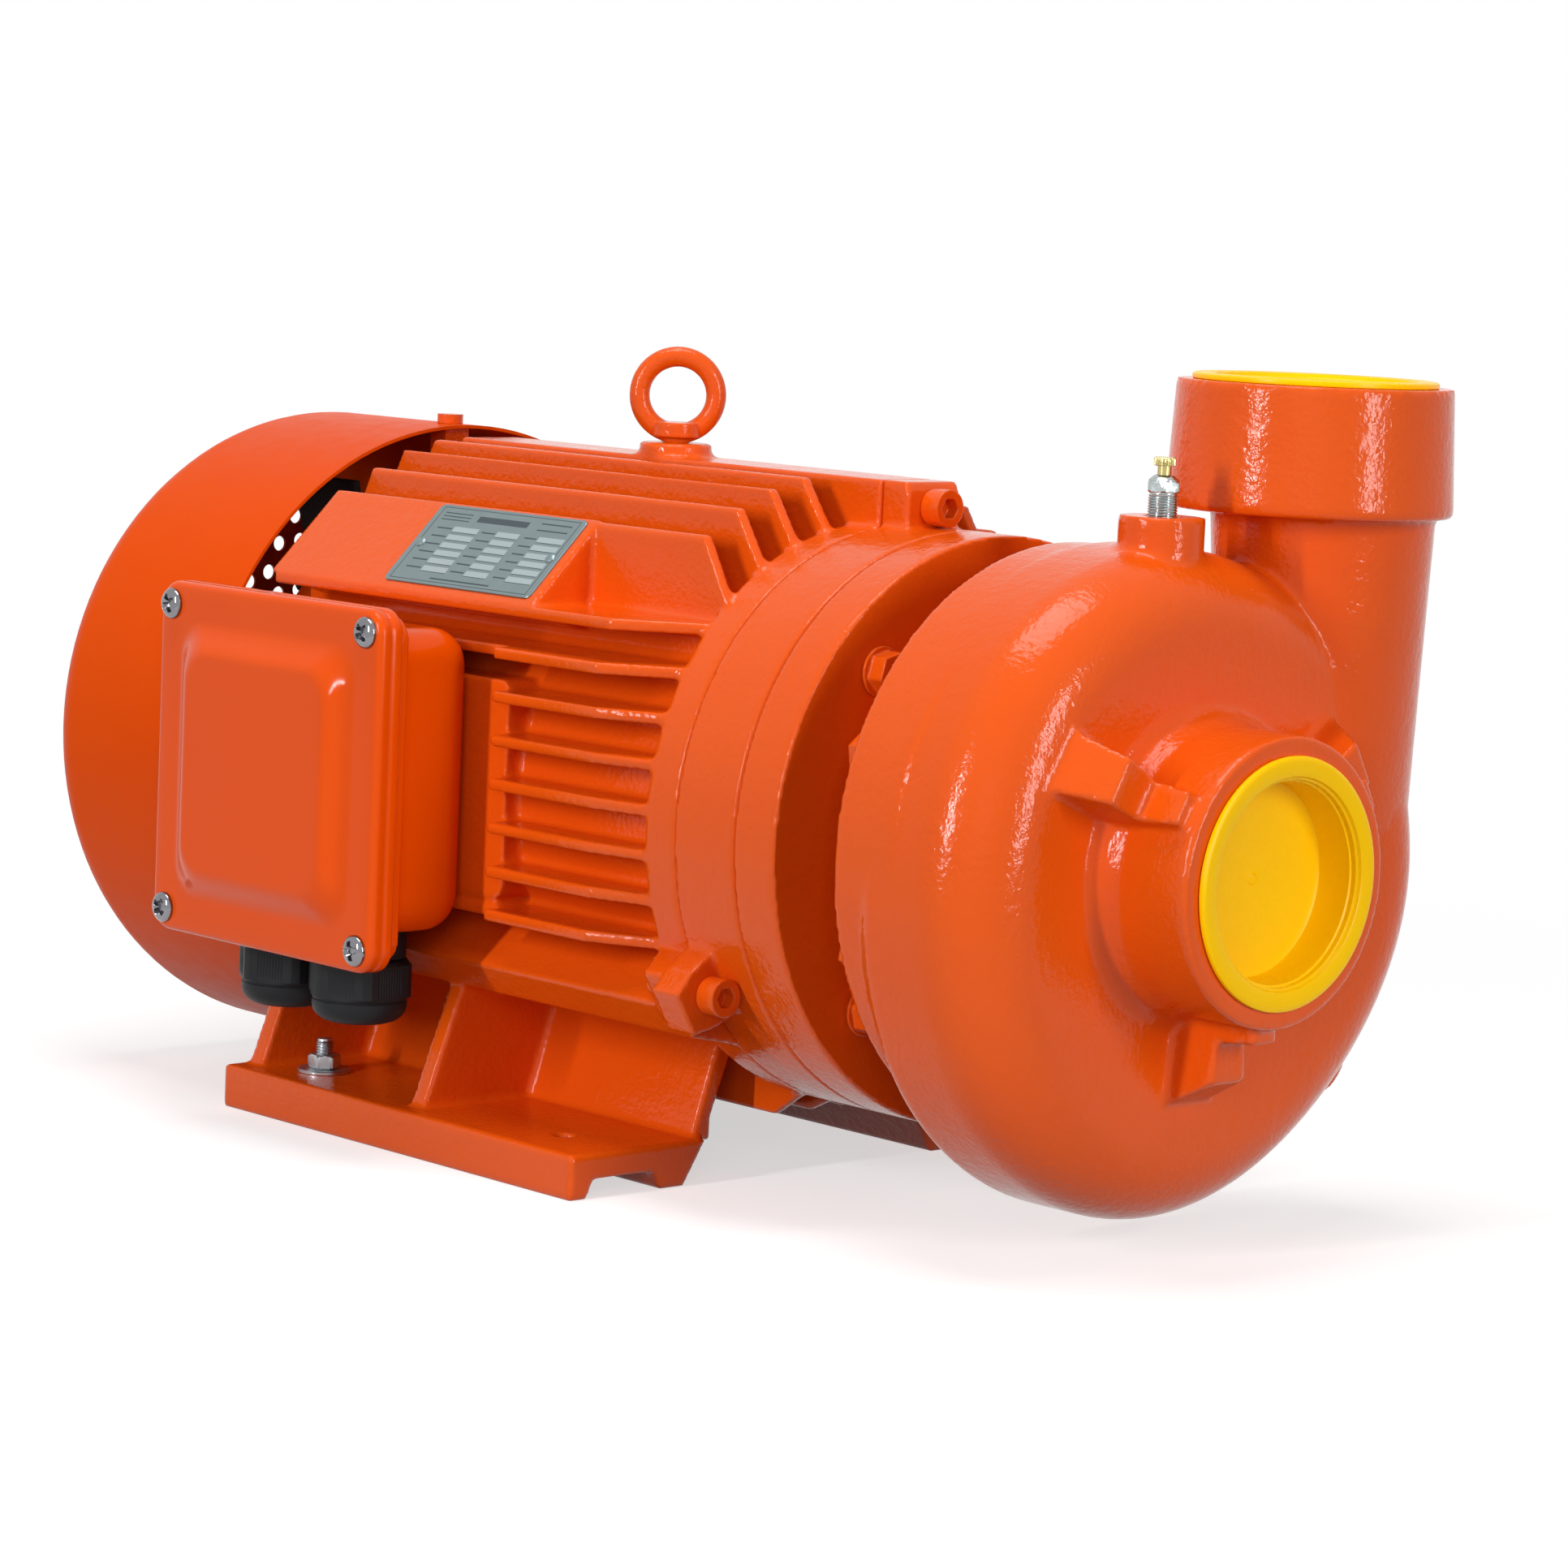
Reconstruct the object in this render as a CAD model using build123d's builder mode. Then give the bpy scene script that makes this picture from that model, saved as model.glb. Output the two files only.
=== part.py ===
from build123d import *
from math import cos, pi, radians, sin, sqrt
import os

os.makedirs("parts", exist_ok=True)

# Close-coupled centrifugal water pump: a finned cast iron motor with a volute pump on its flange.
# Millimetres. The shaft runs along X with the suction port at +X, Z is up, the terminal box is at -Y.
# The origin is the centre of the foot bolt pattern, on the plane that the feet stand on.

# Stations along the shaft
fan_cowl_back = -257
fan_cowl_front = -133.5
frame_back = -138
frame_front = 161
shield_front = 197
flange_front = 221
cover_back = 246
rim_back = 256
rim_front = 278
casing_front = 337
nozzle_face = 383

# Shaft line, feet and their bolts
shaft_height = 160
foot_length = 243
foot_outer = 138
foot_inner = 74
foot_thickness = 19.4
foot_recess_depth = 8
foot_outer_pad = 10
foot_inner_pad = 14
leg_inner = 56.5
leg_outer = 68
bolt_spacing_x = 168
bolt_spacing_y = 220
foot_hole_r = 4.5

# Motor frame
bore_r = 98
root_r = 110
collar_r = 124
collar_back = 143
fin_r = 145
fin_t = 5
fin_top_back = -118
fin_top_front = 130
top_fin_places = [30, 48, 66, 84]
bottom_fin_places = [10, 30]
bottom_fin_reach = 131.5
side_fin_top = 62
side_fin_pitch = 18.7
side_fin_count = 7
side_fin_tip = 128
side_fin_bend = 112
shoulder_fin_z = 80
shoulder_fin_tip = 121
ridge_half = 16
ridge_top = 143
lug_r = 132.5
lug_length = 16
lug_half = 15
lug_angles = [90, 210, 330]
lug_tip_r = 148
# Half outline of the two lower lugs: radius, and degrees either way from the lug's own angle
lug_half_outline = [(112, 8.5), (137, 5.9), (lug_tip_r, 4)]
# Rails along the barrel's lower corners: distance to the side and height above the shaft line
rail_outline = [(97, -56), (118.5, -74), (108, -87.5), (84, -92), (60, -80)]
fin_root_depth = 7

# Eye bolt
eye_x = 12.5
eye_boss_r = 16
eye_boss_top = 309
eye_ring_outer = 21.5
eye_ring_hole = 12.5
eye_collar_r = 10.5
eye_collar_t = 6.5
eye_neck_t = 2.5
eye_centre_z = 330
eye_turn = 43
m10_r = 5

# Nameplate on its inclined pad
plate_x = 6
plate_length = 99
plate_width = 46
plate_t = 0.8
pad_normal_reach = 143.5
pad_front = 60
pad_back = -122
rivet_spacing = 88
rivet_r = 1.8

# Terminal box
box_x = -43.5
box_z = 162.5
box_pad_face = 118
box_pad_front = 45
box_pad_height = 94
cover_width = 157
cover_height = 155
cover_corner = 11
cover_face = 180.2
cover_t = 12.4
pillow_width = 118
pillow_height = 122
pillow_rise = 5.5
box_inset = 3.5
box_flange_t = 4.5
tray_width = 140
tray_height = 131
tray_z = 164.5
tray_corner = 14
tray_round = 18
tray_floor_inset = 9
box_wall = 4
gasket_t = 1.5
cover_screw_dx = 137.8
cover_screw_dz = 134.9
cover_screw_head_r = 6.2
cover_screw_r = 3
gland_spacing = 51
gland_y = 143
gland_thread_r = 13
gland_bore_r = 9
lock_nut_flats = 31
gland_body_flats = 37
gland_hex_t = 15
gland_flats = 42
gland_nut_t = 28.5
gland_dome_t = 11
gland_dome_r = 20.5

# Fan, cowl and rear end shield
fan_cowl_r = 147.5
cowl_wall = 1.6
cowl_corner = 22
grille_hole_r = 3.6
grille_pitch = 12
rear_shield_t = 15
rear_screw_circle = 104
rear_screw_angles = (45, 135, 225, 315)
rear_screw_r = 2.9
cowl_screw_x = -147
cowl_post_half = 7
fan_r = 122
fan_hub_r = 24
fan_back = -228
fan_front = -176
fan_blades = 7

# Shaft and rotor
core_back = -70
core_front = 80
rotor_r = 61.5
air_gap = 0.5
body_r = 26
slot_count = 24
slot_width = 8
slot_depth = 20
end_turn = 30
rear_journal_r = 17.5
rear_bearing_r = 36
rear_bearing_x = -160
rear_bearing_w = 17
drive_journal_r = 20
drive_bearing_r = 45
drive_bearing_x = 166
drive_bearing_w = 23
circlip_x = 163.5
circlip_t = 2.5
circlip_r = 47
lip_seal_x = 191
lip_seal_r = 30
pump_shaft_r = 16
impeller_seat_r = 13
thread_r = 10
fan_seat_r = 14
running_gap = 0.05
seat_gap = 0.2

# Flange bracket between motor and pump
bracket_bolt_circle = 98.4
bracket_bolt_flats = 16
bracket_bolt_flange_r = 10.7
neck_r = 78
cover_flange_r = 113
cover_pilot_r = 99
cover_front = 262
casing_bolt_circle = 105.5
casing_bolt_r = 4
casing_bolt_flats = 13
casing_bolt_count = 8
casing_gasket_t = 1

# Volute casing
rim_r = 124.5
casing_wall = 8
scroll_top = 126
scroll_left = 124.5
scroll_lower_left = 136
scroll_bottom = 148
scroll_lower_right = 149
scroll_right = 152
scroll_upper_right = 141
scroll_back = 268
front_round = 33
back_round = 9
discharge_x = 304
neck_y = 105
neck_lean = 4
neck_root_half = 34
neck_cut_z = 205
discharge_r = 47
discharge_y = 92
collar_top_z = 352.5
collar_height = 53
neck_top_z = collar_top_z - collar_height + 6
collar_taper = 2.7
collar_edge_r = 2.5
collar_top_r = 57.1
port_bore_r = 43
port_depth = 36
passage_r = 38.5
nozzle_r = 58.5
boss_r = 17.5
boss_top_z = 298.6
step_lug_angles = [150, 270, 30]
drain_angle = 320
drain_boss_r = 14
drain_boss_reach = 152.5
drain_r = 6.5

# Transit plugs in both ports
plug_flange_r = 48.5
plug_flange_t = 2.8
plug_depth = 20
plug_clearance = 0.1
plug_wall = 2.4
plug_floor = 2.5

# Impeller, wear ring and shaft seal
impeller_r = 94
impeller_back = 275
shroud_t = 5
outlet_width = 17
eye_r = 36
eye_front = 322
impeller_hub_r = 24
vane_count = 6
vane_t = 4.5
wear_ring_outer = 44
wear_ring_wall = 4.5
wear_ring_x = 312
key_width = 6
nut_flats = 30
seal_face_x = 258
seal_seat_t = 9
seal_seat_r = 25
seal_head_r = 21
spring_wire_r = 1
slinger_r = 32

# Bleed valve
bleed_y = 2
bleed_x = 305
bleed_thread_r = 6.4
bleed_thread_top = 308
bleed_flats = 12.5
bleed_hex_t = 6.5
bleed_cone_t = 3
bleed_neck_r = 2.6
bleed_knob_r = 4.9
bleed_knob_t = 4.6
bleed_knob_lift = 4.2

shaft_line = Axis((0, 0, shaft_height), (1, 0, 0))
# Local x is X and local y is the height above the shaft line.
side_view = Plane(origin=(0, 0, shaft_height), x_dir=(1, 0, 0), z_dir=(0, -1, 0))
# The inclined plane that the nameplate lies on
pad_reach = pad_normal_reach * sin(radians(45))
pad_plane = Plane(
    origin=(plate_x, -pad_reach, shaft_height + pad_reach), x_dir=(1, 0, 0), z_dir=(0, -1, 1),
)


# A plane square to the shaft: local x is Y and local y is the height above the shaft line.
def across(x):
    return Plane(origin=(x, 0, shaft_height), x_dir=(0, 1, 0), z_dir=(1, 0, 0))


# A point on a circle about the shaft, in the local x and y of a plane square to it
def around(radius, angle):
    return (radius * cos(radians(angle)), radius * sin(radians(angle)))


# A plane that contains the shaft line, turned by the angle about it: local x is X, local y is the radius.
def radial(angle):
    out = Vector(0, cos(radians(angle)), sin(radians(angle)))
    return Plane(origin=(0, 0, shaft_height), x_dir=(1, 0, 0), z_dir=Vector(1, 0, 0).cross(out))


# The plane of a side wall at the given distance towards -Y: local x is X and local y is Z.
def facing_box(y):
    return Plane(origin=(0, -y, 0), x_dir=(1, 0, 0), z_dir=(0, -1, 0))


# A plane square to a radius: local x is X, its normal points away from the shaft.
def outward(x, angle, radius):
    out = Vector(0, cos(radians(angle)), sin(radians(angle)))
    return Plane(origin=Vector(x, 0, shaft_height) + out * radius, x_dir=(1, 0, 0), z_dir=out)


def write(piece, name):
    piece.part.label = name
    export_step(piece.part, f"parts/{name}.step")


# Height above the shaft line at which a circle about the shaft passes the given offset
def chord(radius, offset):
    return sqrt(radius**2 - offset**2)


# Motor frame: barrel with fins, ridge, box pad, nameplate pad, lugs and feet in one casting
with BuildPart() as motor_frame:
    with BuildSketch(side_view):
        with BuildLine():
            Polyline(
                (frame_back, bore_r), (frame_back, root_r), (collar_back - 9, root_r),
                (collar_back, collar_r), (frame_front, collar_r), (frame_front, bore_r), close=True,
            )
        make_face()
    revolve(axis=shaft_line)
    for up, places in ((1, top_fin_places), (-1, bottom_fin_places)):
        for place in places:
            for y in (-place, place):
                top = chord(fin_r, y) if up > 0 else bottom_fin_reach
                low = chord(root_r - fin_root_depth, y)
                with BuildSketch(side_view.offset(-y - fin_t / 2)):
                    with BuildLine():
                        Polyline(
                            (frame_back, up * low), (frame_back, up * chord(root_r, y)),
                            (fin_top_back, up * top), (fin_top_front, up * top),
                            (collar_back + 3, up * chord(collar_r, y)), (collar_back + 3, up * low),
                            close=True,
                        )
                    make_face()
                extrude(amount=fin_t)
    side_fins = [(side_fin_top - i * side_fin_pitch, side_fin_tip) for i in range(side_fin_count)]
    side_fins.append((shoulder_fin_z, shoulder_fin_tip))
    for z, tip in side_fins:
        low = chord(root_r - fin_root_depth, z)
        for s in (-1, 1):
            with BuildSketch(Plane.XY.offset(shaft_height + z - fin_t / 2)):
                with BuildLine():
                    Polyline(
                        (frame_back, s * low), (frame_back, s * chord(root_r, z)),
                        (fin_top_back, s * tip), (side_fin_bend, s * tip),
                        (collar_back - 1, s * chord(collar_r, z)), (collar_back - 1, s * low), close=True,
                    )
                make_face()
            extrude(amount=fin_t)
    # Ridge that carries the eye bolt
    with BuildSketch(side_view.offset(-ridge_half)):
        with BuildLine():
            Polyline(
                (frame_back, root_r - fin_root_depth), (frame_back, root_r), (fin_top_back, ridge_top),
                (frame_front, ridge_top), (frame_front, root_r - fin_root_depth), close=True,
            )
        make_face()
    extrude(amount=2 * ridge_half)
    with BuildSketch(Plane.XY.offset(shaft_height + ridge_top - 10)):
        with Locations((eye_x, 0)):
            Circle(eye_boss_r)
    extrude(amount=eye_boss_top - shaft_height - ridge_top + 10)
    # Rails along the lower corners, from the rear up to the end shield
    for s in (-1, 1):
        with BuildSketch(across(fin_top_back)):
            with BuildLine():
                Polyline(*[(s * y, z) for y, z in rail_outline], close=True)
            make_face()
        extrude(amount=frame_front - fin_top_back)
    # Lugs that take the end shield screws, below the ridge on both sides
    for angle in lug_angles[1:]:
        with BuildSketch(radial(angle)):
            with BuildLine():
                Polyline(
                    (collar_back - 5, root_r - 4), (collar_back - 5, root_r), (frame_front - 12, lug_r + 8),
                    (frame_front, lug_r + 8), (frame_front, root_r - 4), close=True,
                )
            make_face()
        extrude(amount=lug_half * 0.8, both=True)
    # Pad under the terminal box
    with BuildSketch(facing_box(root_r - 22)):
        with Locations(((fin_top_back + 2 + box_pad_front) / 2, box_z)):
            RectangleRounded(box_pad_front - fin_top_back - 2, box_pad_height, 6)
    extrude(amount=box_pad_face - root_r + 22)
    # Inclined pad under the nameplate
    with BuildSketch(across(pad_back)):
        with BuildLine():
            Polyline(
                (-top_fin_places[-1], 75), (-top_fin_places[-1], sqrt(2) * pad_normal_reach - top_fin_places[-1]),
                (-sqrt(2) * pad_normal_reach + shoulder_fin_z + fin_t / 2, shoulder_fin_z + fin_t / 2),
                (-92, shoulder_fin_z - 8), close=True,
            )
        make_face()
    extrude(amount=pad_front - pad_back)
    # Feet: a plate with an open channel below, a leg that leans in to the barrel, and two gussets
    for s in (-1, 1):
        channel_outer = foot_outer - foot_outer_pad
        channel_inner = foot_inner + foot_inner_pad
        with BuildSketch(across(-foot_length / 2)):
            with BuildLine():
                Polyline(
                    (s * foot_inner, -shaft_height), (s * channel_inner, -shaft_height),
                    (s * (channel_inner + 3), foot_recess_depth - shaft_height),
                    (s * (channel_outer - 3), foot_recess_depth - shaft_height),
                    (s * channel_outer, -shaft_height), (s * foot_outer, -shaft_height),
                    (s * foot_outer, foot_thickness - shaft_height),
                    (s * (foot_inner - 12), foot_thickness - shaft_height), close=True,
                )
            make_face()
        extrude(amount=foot_length)
        for x, width in ((-foot_length / 2 + 4, 10), (0, 9)):
            with BuildSketch(across(x)):
                with BuildLine():
                    Polyline(
                        (s * 60, foot_thickness - shaft_height - 2), (s * 128, foot_thickness - shaft_height - 2),
                        (s * 94, -52), (s * 50, -88), close=True,
                    )
                make_face()
            extrude(amount=width)
        with BuildSketch(across(-foot_length / 2 + 4)):
            with BuildLine():
                Polyline(
                    (s * leg_inner, foot_thickness - shaft_height - 2),
                    (s * leg_outer, foot_thickness - shaft_height - 2),
                    (s * (leg_outer - 16), -92), (s * (leg_inner - 14), -96),
                    (s * leg_inner, foot_thickness - shaft_height + 8), close=True,
                )
            make_face()
        extrude(amount=foot_length - 8)
    # The legs and webs stop at the bore
    with BuildSketch(across(frame_back)):
        Circle(bore_r)
    extrude(amount=frame_front - frame_back, mode=Mode.SUBTRACT)
    # The fins stop at the terminal box and below the nameplate
    with BuildSketch(facing_box(box_pad_face)):
        with Locations(((fin_top_back + box_pad_front) / 2, box_z)):
            Rectangle(box_pad_front - fin_top_back, cover_height - 2 * box_inset)
    extrude(amount=12, mode=Mode.SUBTRACT)
    with BuildSketch(pad_plane):
        Rectangle(2 * (plate_x - pad_back), plate_width + 24)
    extrude(amount=12, mode=Mode.SUBTRACT)
    # Foot bolt holes, the eye bolt's thread, the cable way and the rivet holes
    with Locations(Plane.XY.offset(foot_thickness)):
        with GridLocations(bolt_spacing_x, bolt_spacing_y, 2, 2):
            Hole(foot_hole_r, depth=foot_thickness)
    with Locations(Location((eye_x, 0, eye_boss_top))):
        Hole(m10_r, depth=18)
    with Locations(facing_box(box_pad_face) * Location((box_x, box_z, 0))):
        Hole(18, depth=box_pad_face - bore_r + 30)
        with GridLocations(70, 70, 2, 2):
            Hole(2.5, depth=12)
    for angle in lug_angles:
        with Locations(across(frame_front) * Location(around(lug_r, angle))):
            Hole(m10_r, depth=22)
    for angle in rear_screw_angles:
        with Locations(Plane(origin=(frame_back, 0, shaft_height), x_dir=(0, 1, 0), z_dir=(-1, 0, 0))
                       * Location(around(rear_screw_circle, angle))):
            Hole(3, depth=16)
write(motor_frame, "motor_frame")
print("frame solids", len(motor_frame.part.solids()))

# Stator: slotted core, and a winding whose bars lie in the slots between two end turns
slot_mid = rotor_r + air_gap + 6 + slot_depth / 2
with BuildPart() as stator_core:
    with BuildSketch(across(core_back)):
        Circle(bore_r)
        Circle(rotor_r + air_gap, mode=Mode.SUBTRACT)
        with PolarLocations(slot_mid, slot_count):
            Rectangle(slot_depth, slot_width, mode=Mode.SUBTRACT)
    extrude(amount=core_front - core_back)
write(stator_core, "stator_core")

with BuildPart() as stator_winding:
    with BuildSketch(across(core_back - end_turn)):
        with PolarLocations(slot_mid, slot_count):
            Rectangle(slot_depth - 2 * seat_gap, slot_width - 2 * seat_gap)
    extrude(amount=core_front - core_back + 2 * end_turn)
    for start in (core_back - end_turn, core_front + 1):
        with BuildSketch(side_view):
            with Locations((start + (end_turn - 1) / 2, slot_mid)):
                RectangleRounded(end_turn - 1, slot_depth + 4, 7)
        revolve(axis=shaft_line)
write(stator_winding, "stator_winding")

# Rotor core with its end rings and small cooling vanes
with BuildPart() as rotor_core:
    with BuildSketch(across(core_back)):
        Circle(rotor_r)
        Circle(body_r, mode=Mode.SUBTRACT)
    extrude(amount=core_front - core_back)
    for start in (core_back - 10, core_front):
        with BuildSketch(across(start)):
            Circle(rotor_r - 2)
            Circle(rotor_r - 20, mode=Mode.SUBTRACT)
        extrude(amount=10)
    for start in (core_back - 18, core_front + 10):
        with BuildSketch(across(start)):
            with PolarLocations(rotor_r - 10, 8):
                Rectangle(12, 4)
        extrude(amount=8)
write(rotor_core, "rotor_core")

# Motor shaft, which runs on into the pump and carries the impeller
fan_end = fan_back - 5
rear_shoulder = rear_bearing_x + rear_bearing_w
drive_end = drive_bearing_x + drive_bearing_w
nut_face = 306
shaft_steps = [
    (fan_end, fan_seat_r, fan_front + 4), (fan_front + 4, rear_journal_r, rear_shoulder),
    (rear_shoulder, rear_journal_r + 4, -128), (-128, body_r, drive_bearing_x - 20),
    (drive_bearing_x - 20, drive_journal_r + 4, drive_bearing_x),
    (drive_bearing_x, drive_journal_r, drive_end + 12),
    (drive_end + 12, pump_shaft_r, impeller_back), (impeller_back, impeller_seat_r, nut_face - 2),
    (nut_face - 2, thread_r, nut_face + 14),
]
with BuildPart() as motor_shaft:
    for start, radius, stop in shaft_steps:
        with BuildSketch(across(start)):
            Circle(radius)
        extrude(amount=stop - start)
    with BuildSketch(Plane.XY.offset(shaft_height + impeller_seat_r - 3)):
        with Locations((impeller_back + 12, 0)):
            Rectangle(18, 6)
    extrude(amount=6, mode=Mode.SUBTRACT)
write(motor_shaft, "motor_shaft")


# A ball bearing: outer ring, inner ring and the balls with a small running gap
def bearing(name, x, width, inner, outer, balls):
    pitch_r = (inner + outer) / 2
    ball_r = (outer - inner) * 0.29
    with BuildPart() as outer_ring:
        with BuildSketch(across(x)):
            Circle(outer)
            Circle(outer - (outer - inner) * 0.27, mode=Mode.SUBTRACT)
        extrude(amount=width)
        with BuildSketch(side_view):
            with Locations((x + width / 2, pitch_r)):
                Circle(ball_r + running_gap)
        revolve(axis=shaft_line, mode=Mode.SUBTRACT)
    write(outer_ring, f"{name}_outer_ring")
    with BuildPart() as inner_ring:
        with BuildSketch(across(x)):
            Circle(inner + (outer - inner) * 0.27)
            Circle(inner, mode=Mode.SUBTRACT)
        extrude(amount=width)
        with BuildSketch(side_view):
            with Locations((x + width / 2, pitch_r)):
                Circle(ball_r + running_gap)
        revolve(axis=shaft_line, mode=Mode.SUBTRACT)
    write(inner_ring, f"{name}_inner_ring")
    with BuildPart() as ball_set:
        with Locations(across(x + width / 2)):
            with PolarLocations(pitch_r, balls):
                Sphere(ball_r)
    write(ball_set, f"{name}_balls")


bearing("drive_bearing", drive_bearing_x, drive_bearing_w, drive_journal_r, drive_bearing_r, 8)
bearing("rear_bearing", rear_bearing_x, rear_bearing_w, rear_journal_r, rear_bearing_r, 8)

# Drive end shield: the smooth ring in front of the frame, with the bearing hub inside it
with BuildPart() as drive_end_shield:
    with BuildSketch(side_view):
        with BuildLine():
            Polyline(
                (frame_front - 8, bore_r - seat_gap), (frame_front, bore_r - seat_gap),
                (frame_front, collar_r),
                (shield_front, collar_r), (shield_front, drive_bearing_r - 7),
                (drive_end, drive_bearing_r - 7), (drive_end, drive_bearing_r),
                (circlip_x + circlip_t, drive_bearing_r), (circlip_x + circlip_t, circlip_r),
                (circlip_x, circlip_r), (circlip_x, drive_bearing_r),
                (circlip_x - 3, drive_bearing_r), (circlip_x - 3, drive_bearing_r + 11),
                (shield_front - 14, drive_bearing_r + 16), (shield_front - 14, bore_r - 8),
                (frame_front - 8, bore_r - 8), close=True,
            )
        make_face()
    revolve(axis=shaft_line)
    with BuildSketch(radial(lug_angles[0])):
        with BuildLine():
            Polyline(
                (frame_front, collar_r - 6), (frame_front, ridge_top),
                (frame_front + lug_length - 2, ridge_top), (frame_front + lug_length, ridge_top - 4),
                (frame_front + lug_length, collar_r - 6), close=True,
            )
        make_face()
    extrude(amount=lug_half, both=True)
    for angle in lug_angles[1:]:
        with BuildSketch(across(frame_front)):
            with BuildLine():
                Polyline(
                    *[around(r, angle - turn) for r, turn in lug_half_outline],
                    *[around(r, angle + turn) for r, turn in reversed(lug_half_outline)], close=True,
                )
            make_face()
        extrude(amount=lug_length)
    for angle in lug_angles:
        with Locations(across(frame_front + lug_length) * Location(around(lug_r, angle))):
            Hole(m10_r + seat_gap, depth=lug_length)
    with Locations(across(shield_front)):
        with PolarLocations(bracket_bolt_circle, 4, start_angle=45):
            Hole(m10_r, depth=16)
write(drive_end_shield, "drive_end_shield")


with BuildPart() as shield_screws:
    for angle in lug_angles:
        place = (lug_r * cos(radians(angle)), lug_r * sin(radians(angle)))
        with Locations(across(frame_front + lug_length) * Location(place)):
            Cylinder(m10_r * 1.6, m10_r * 2, align=(Align.CENTER, Align.CENTER, Align.MIN))
            Cylinder(m10_r - 0.1, lug_length + 18, align=(Align.CENTER, Align.CENTER, Align.MAX))
        with BuildSketch(across(frame_front + lug_length + m10_r * 2)):
            with Locations(place):
                RegularPolygon(m10_r * 0.8, 6, major_radius=False)
        extrude(amount=-m10_r * 1.1, mode=Mode.SUBTRACT)
write(shield_screws, "shield_screws")

# Rear end shield with the rear bearing hub and four posts for the cowl
rear_face = Plane(origin=(frame_back - rear_shield_t, 0, shaft_height), x_dir=(0, 1, 0), z_dir=(-1, 0, 0))
with BuildPart() as rear_end_shield:
    with BuildSketch(side_view):
        with BuildLine():
            Polyline(
                (frame_back, root_r), (frame_back, bore_r - seat_gap), (frame_back + 7, bore_r - seat_gap),
                (frame_back + 7, bore_r - 8), (frame_back - rear_shield_t + 8, bore_r - 14),
                (frame_back - rear_shield_t + 8, rear_bearing_r + 10), (rear_shoulder, rear_bearing_r + 8),
                (rear_shoulder, rear_bearing_r), (rear_bearing_x, rear_bearing_r),
                (rear_bearing_x, rear_journal_r + 2.5), (rear_bearing_x - 4, rear_journal_r + 2.5),
                (rear_bearing_x - 4, rear_bearing_r + 5), (frame_back - rear_shield_t, rear_bearing_r + 12),
                (frame_back - rear_shield_t, root_r - 6), (frame_back - rear_shield_t + 5, root_r), close=True,
            )
        make_face()
    revolve(axis=shaft_line)
    for angle in (0, 90, 180, 270):
        with BuildSketch(outward(cowl_screw_x, angle, root_r - 8)):
            Rectangle(2 * 5.5, 2 * cowl_post_half)
        extrude(amount=fan_cowl_r - root_r + 8)
        with Locations(outward(cowl_screw_x, angle, fan_cowl_r)):
            Hole(2.5, depth=18)
    with BuildSketch(across(cowl_screw_x - 6)):
        Circle(fan_cowl_r + 5)
        Circle(fan_cowl_r - cowl_wall, mode=Mode.SUBTRACT)
    extrude(amount=12, mode=Mode.SUBTRACT)
    for angle in rear_screw_angles:
        with Locations(rear_face * Location(around(rear_screw_circle, angle))):
            Hole(rear_screw_r + 0.3, depth=rear_shield_t + 1)
write(rear_end_shield, "rear_end_shield")

with BuildPart() as rear_shield_screws:
    for angle in rear_screw_angles:
        with Locations(rear_face * Location(around(rear_screw_circle, angle))):
            Cylinder(5, 6, align=(Align.CENTER, Align.CENTER, Align.MIN))
            Cylinder(rear_screw_r, rear_shield_t + 12, align=(Align.CENTER, Align.CENTER, Align.MAX))
write(rear_shield_screws, "rear_shield_screws")

# Wave spring that preloads the rear bearing
with BuildPart() as preload_spring:
    with BuildSketch(across(rear_shoulder)):
        Circle(rear_bearing_r - 0.3)
        Circle(rear_bearing_r - 6, mode=Mode.SUBTRACT)
    extrude(amount=1.6)
write(preload_spring, "preload_spring")

# Cooling fan
with BuildPart() as cooling_fan:
    with BuildSketch(across(fan_back)):
        Circle(fan_hub_r)
        Circle(fan_seat_r, mode=Mode.SUBTRACT)
    extrude(amount=fan_front - fan_back)
    with BuildSketch(across(fan_front - 6)):
        Circle(fan_r * 0.72)
        Circle(fan_hub_r - 1, mode=Mode.SUBTRACT)
    extrude(amount=4)
    with BuildSketch(across(fan_back)):
        with PolarLocations((fan_r + fan_hub_r) / 2 - 1, fan_blades):
            Rectangle(fan_r - fan_hub_r, 3.5)
    extrude(amount=fan_front - fan_back - 6)
write(cooling_fan, "cooling_fan")

with BuildPart() as fan_circlip:
    with BuildSketch(across(fan_back - 1.6)):
        Circle(fan_seat_r + 3.5)
        Circle(fan_seat_r, mode=Mode.SUBTRACT)
        with Locations((0, -fan_seat_r - 2)):
            Rectangle(6, 6, mode=Mode.SUBTRACT)
    extrude(amount=1.5)
write(fan_circlip, "fan_circlip")

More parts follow.
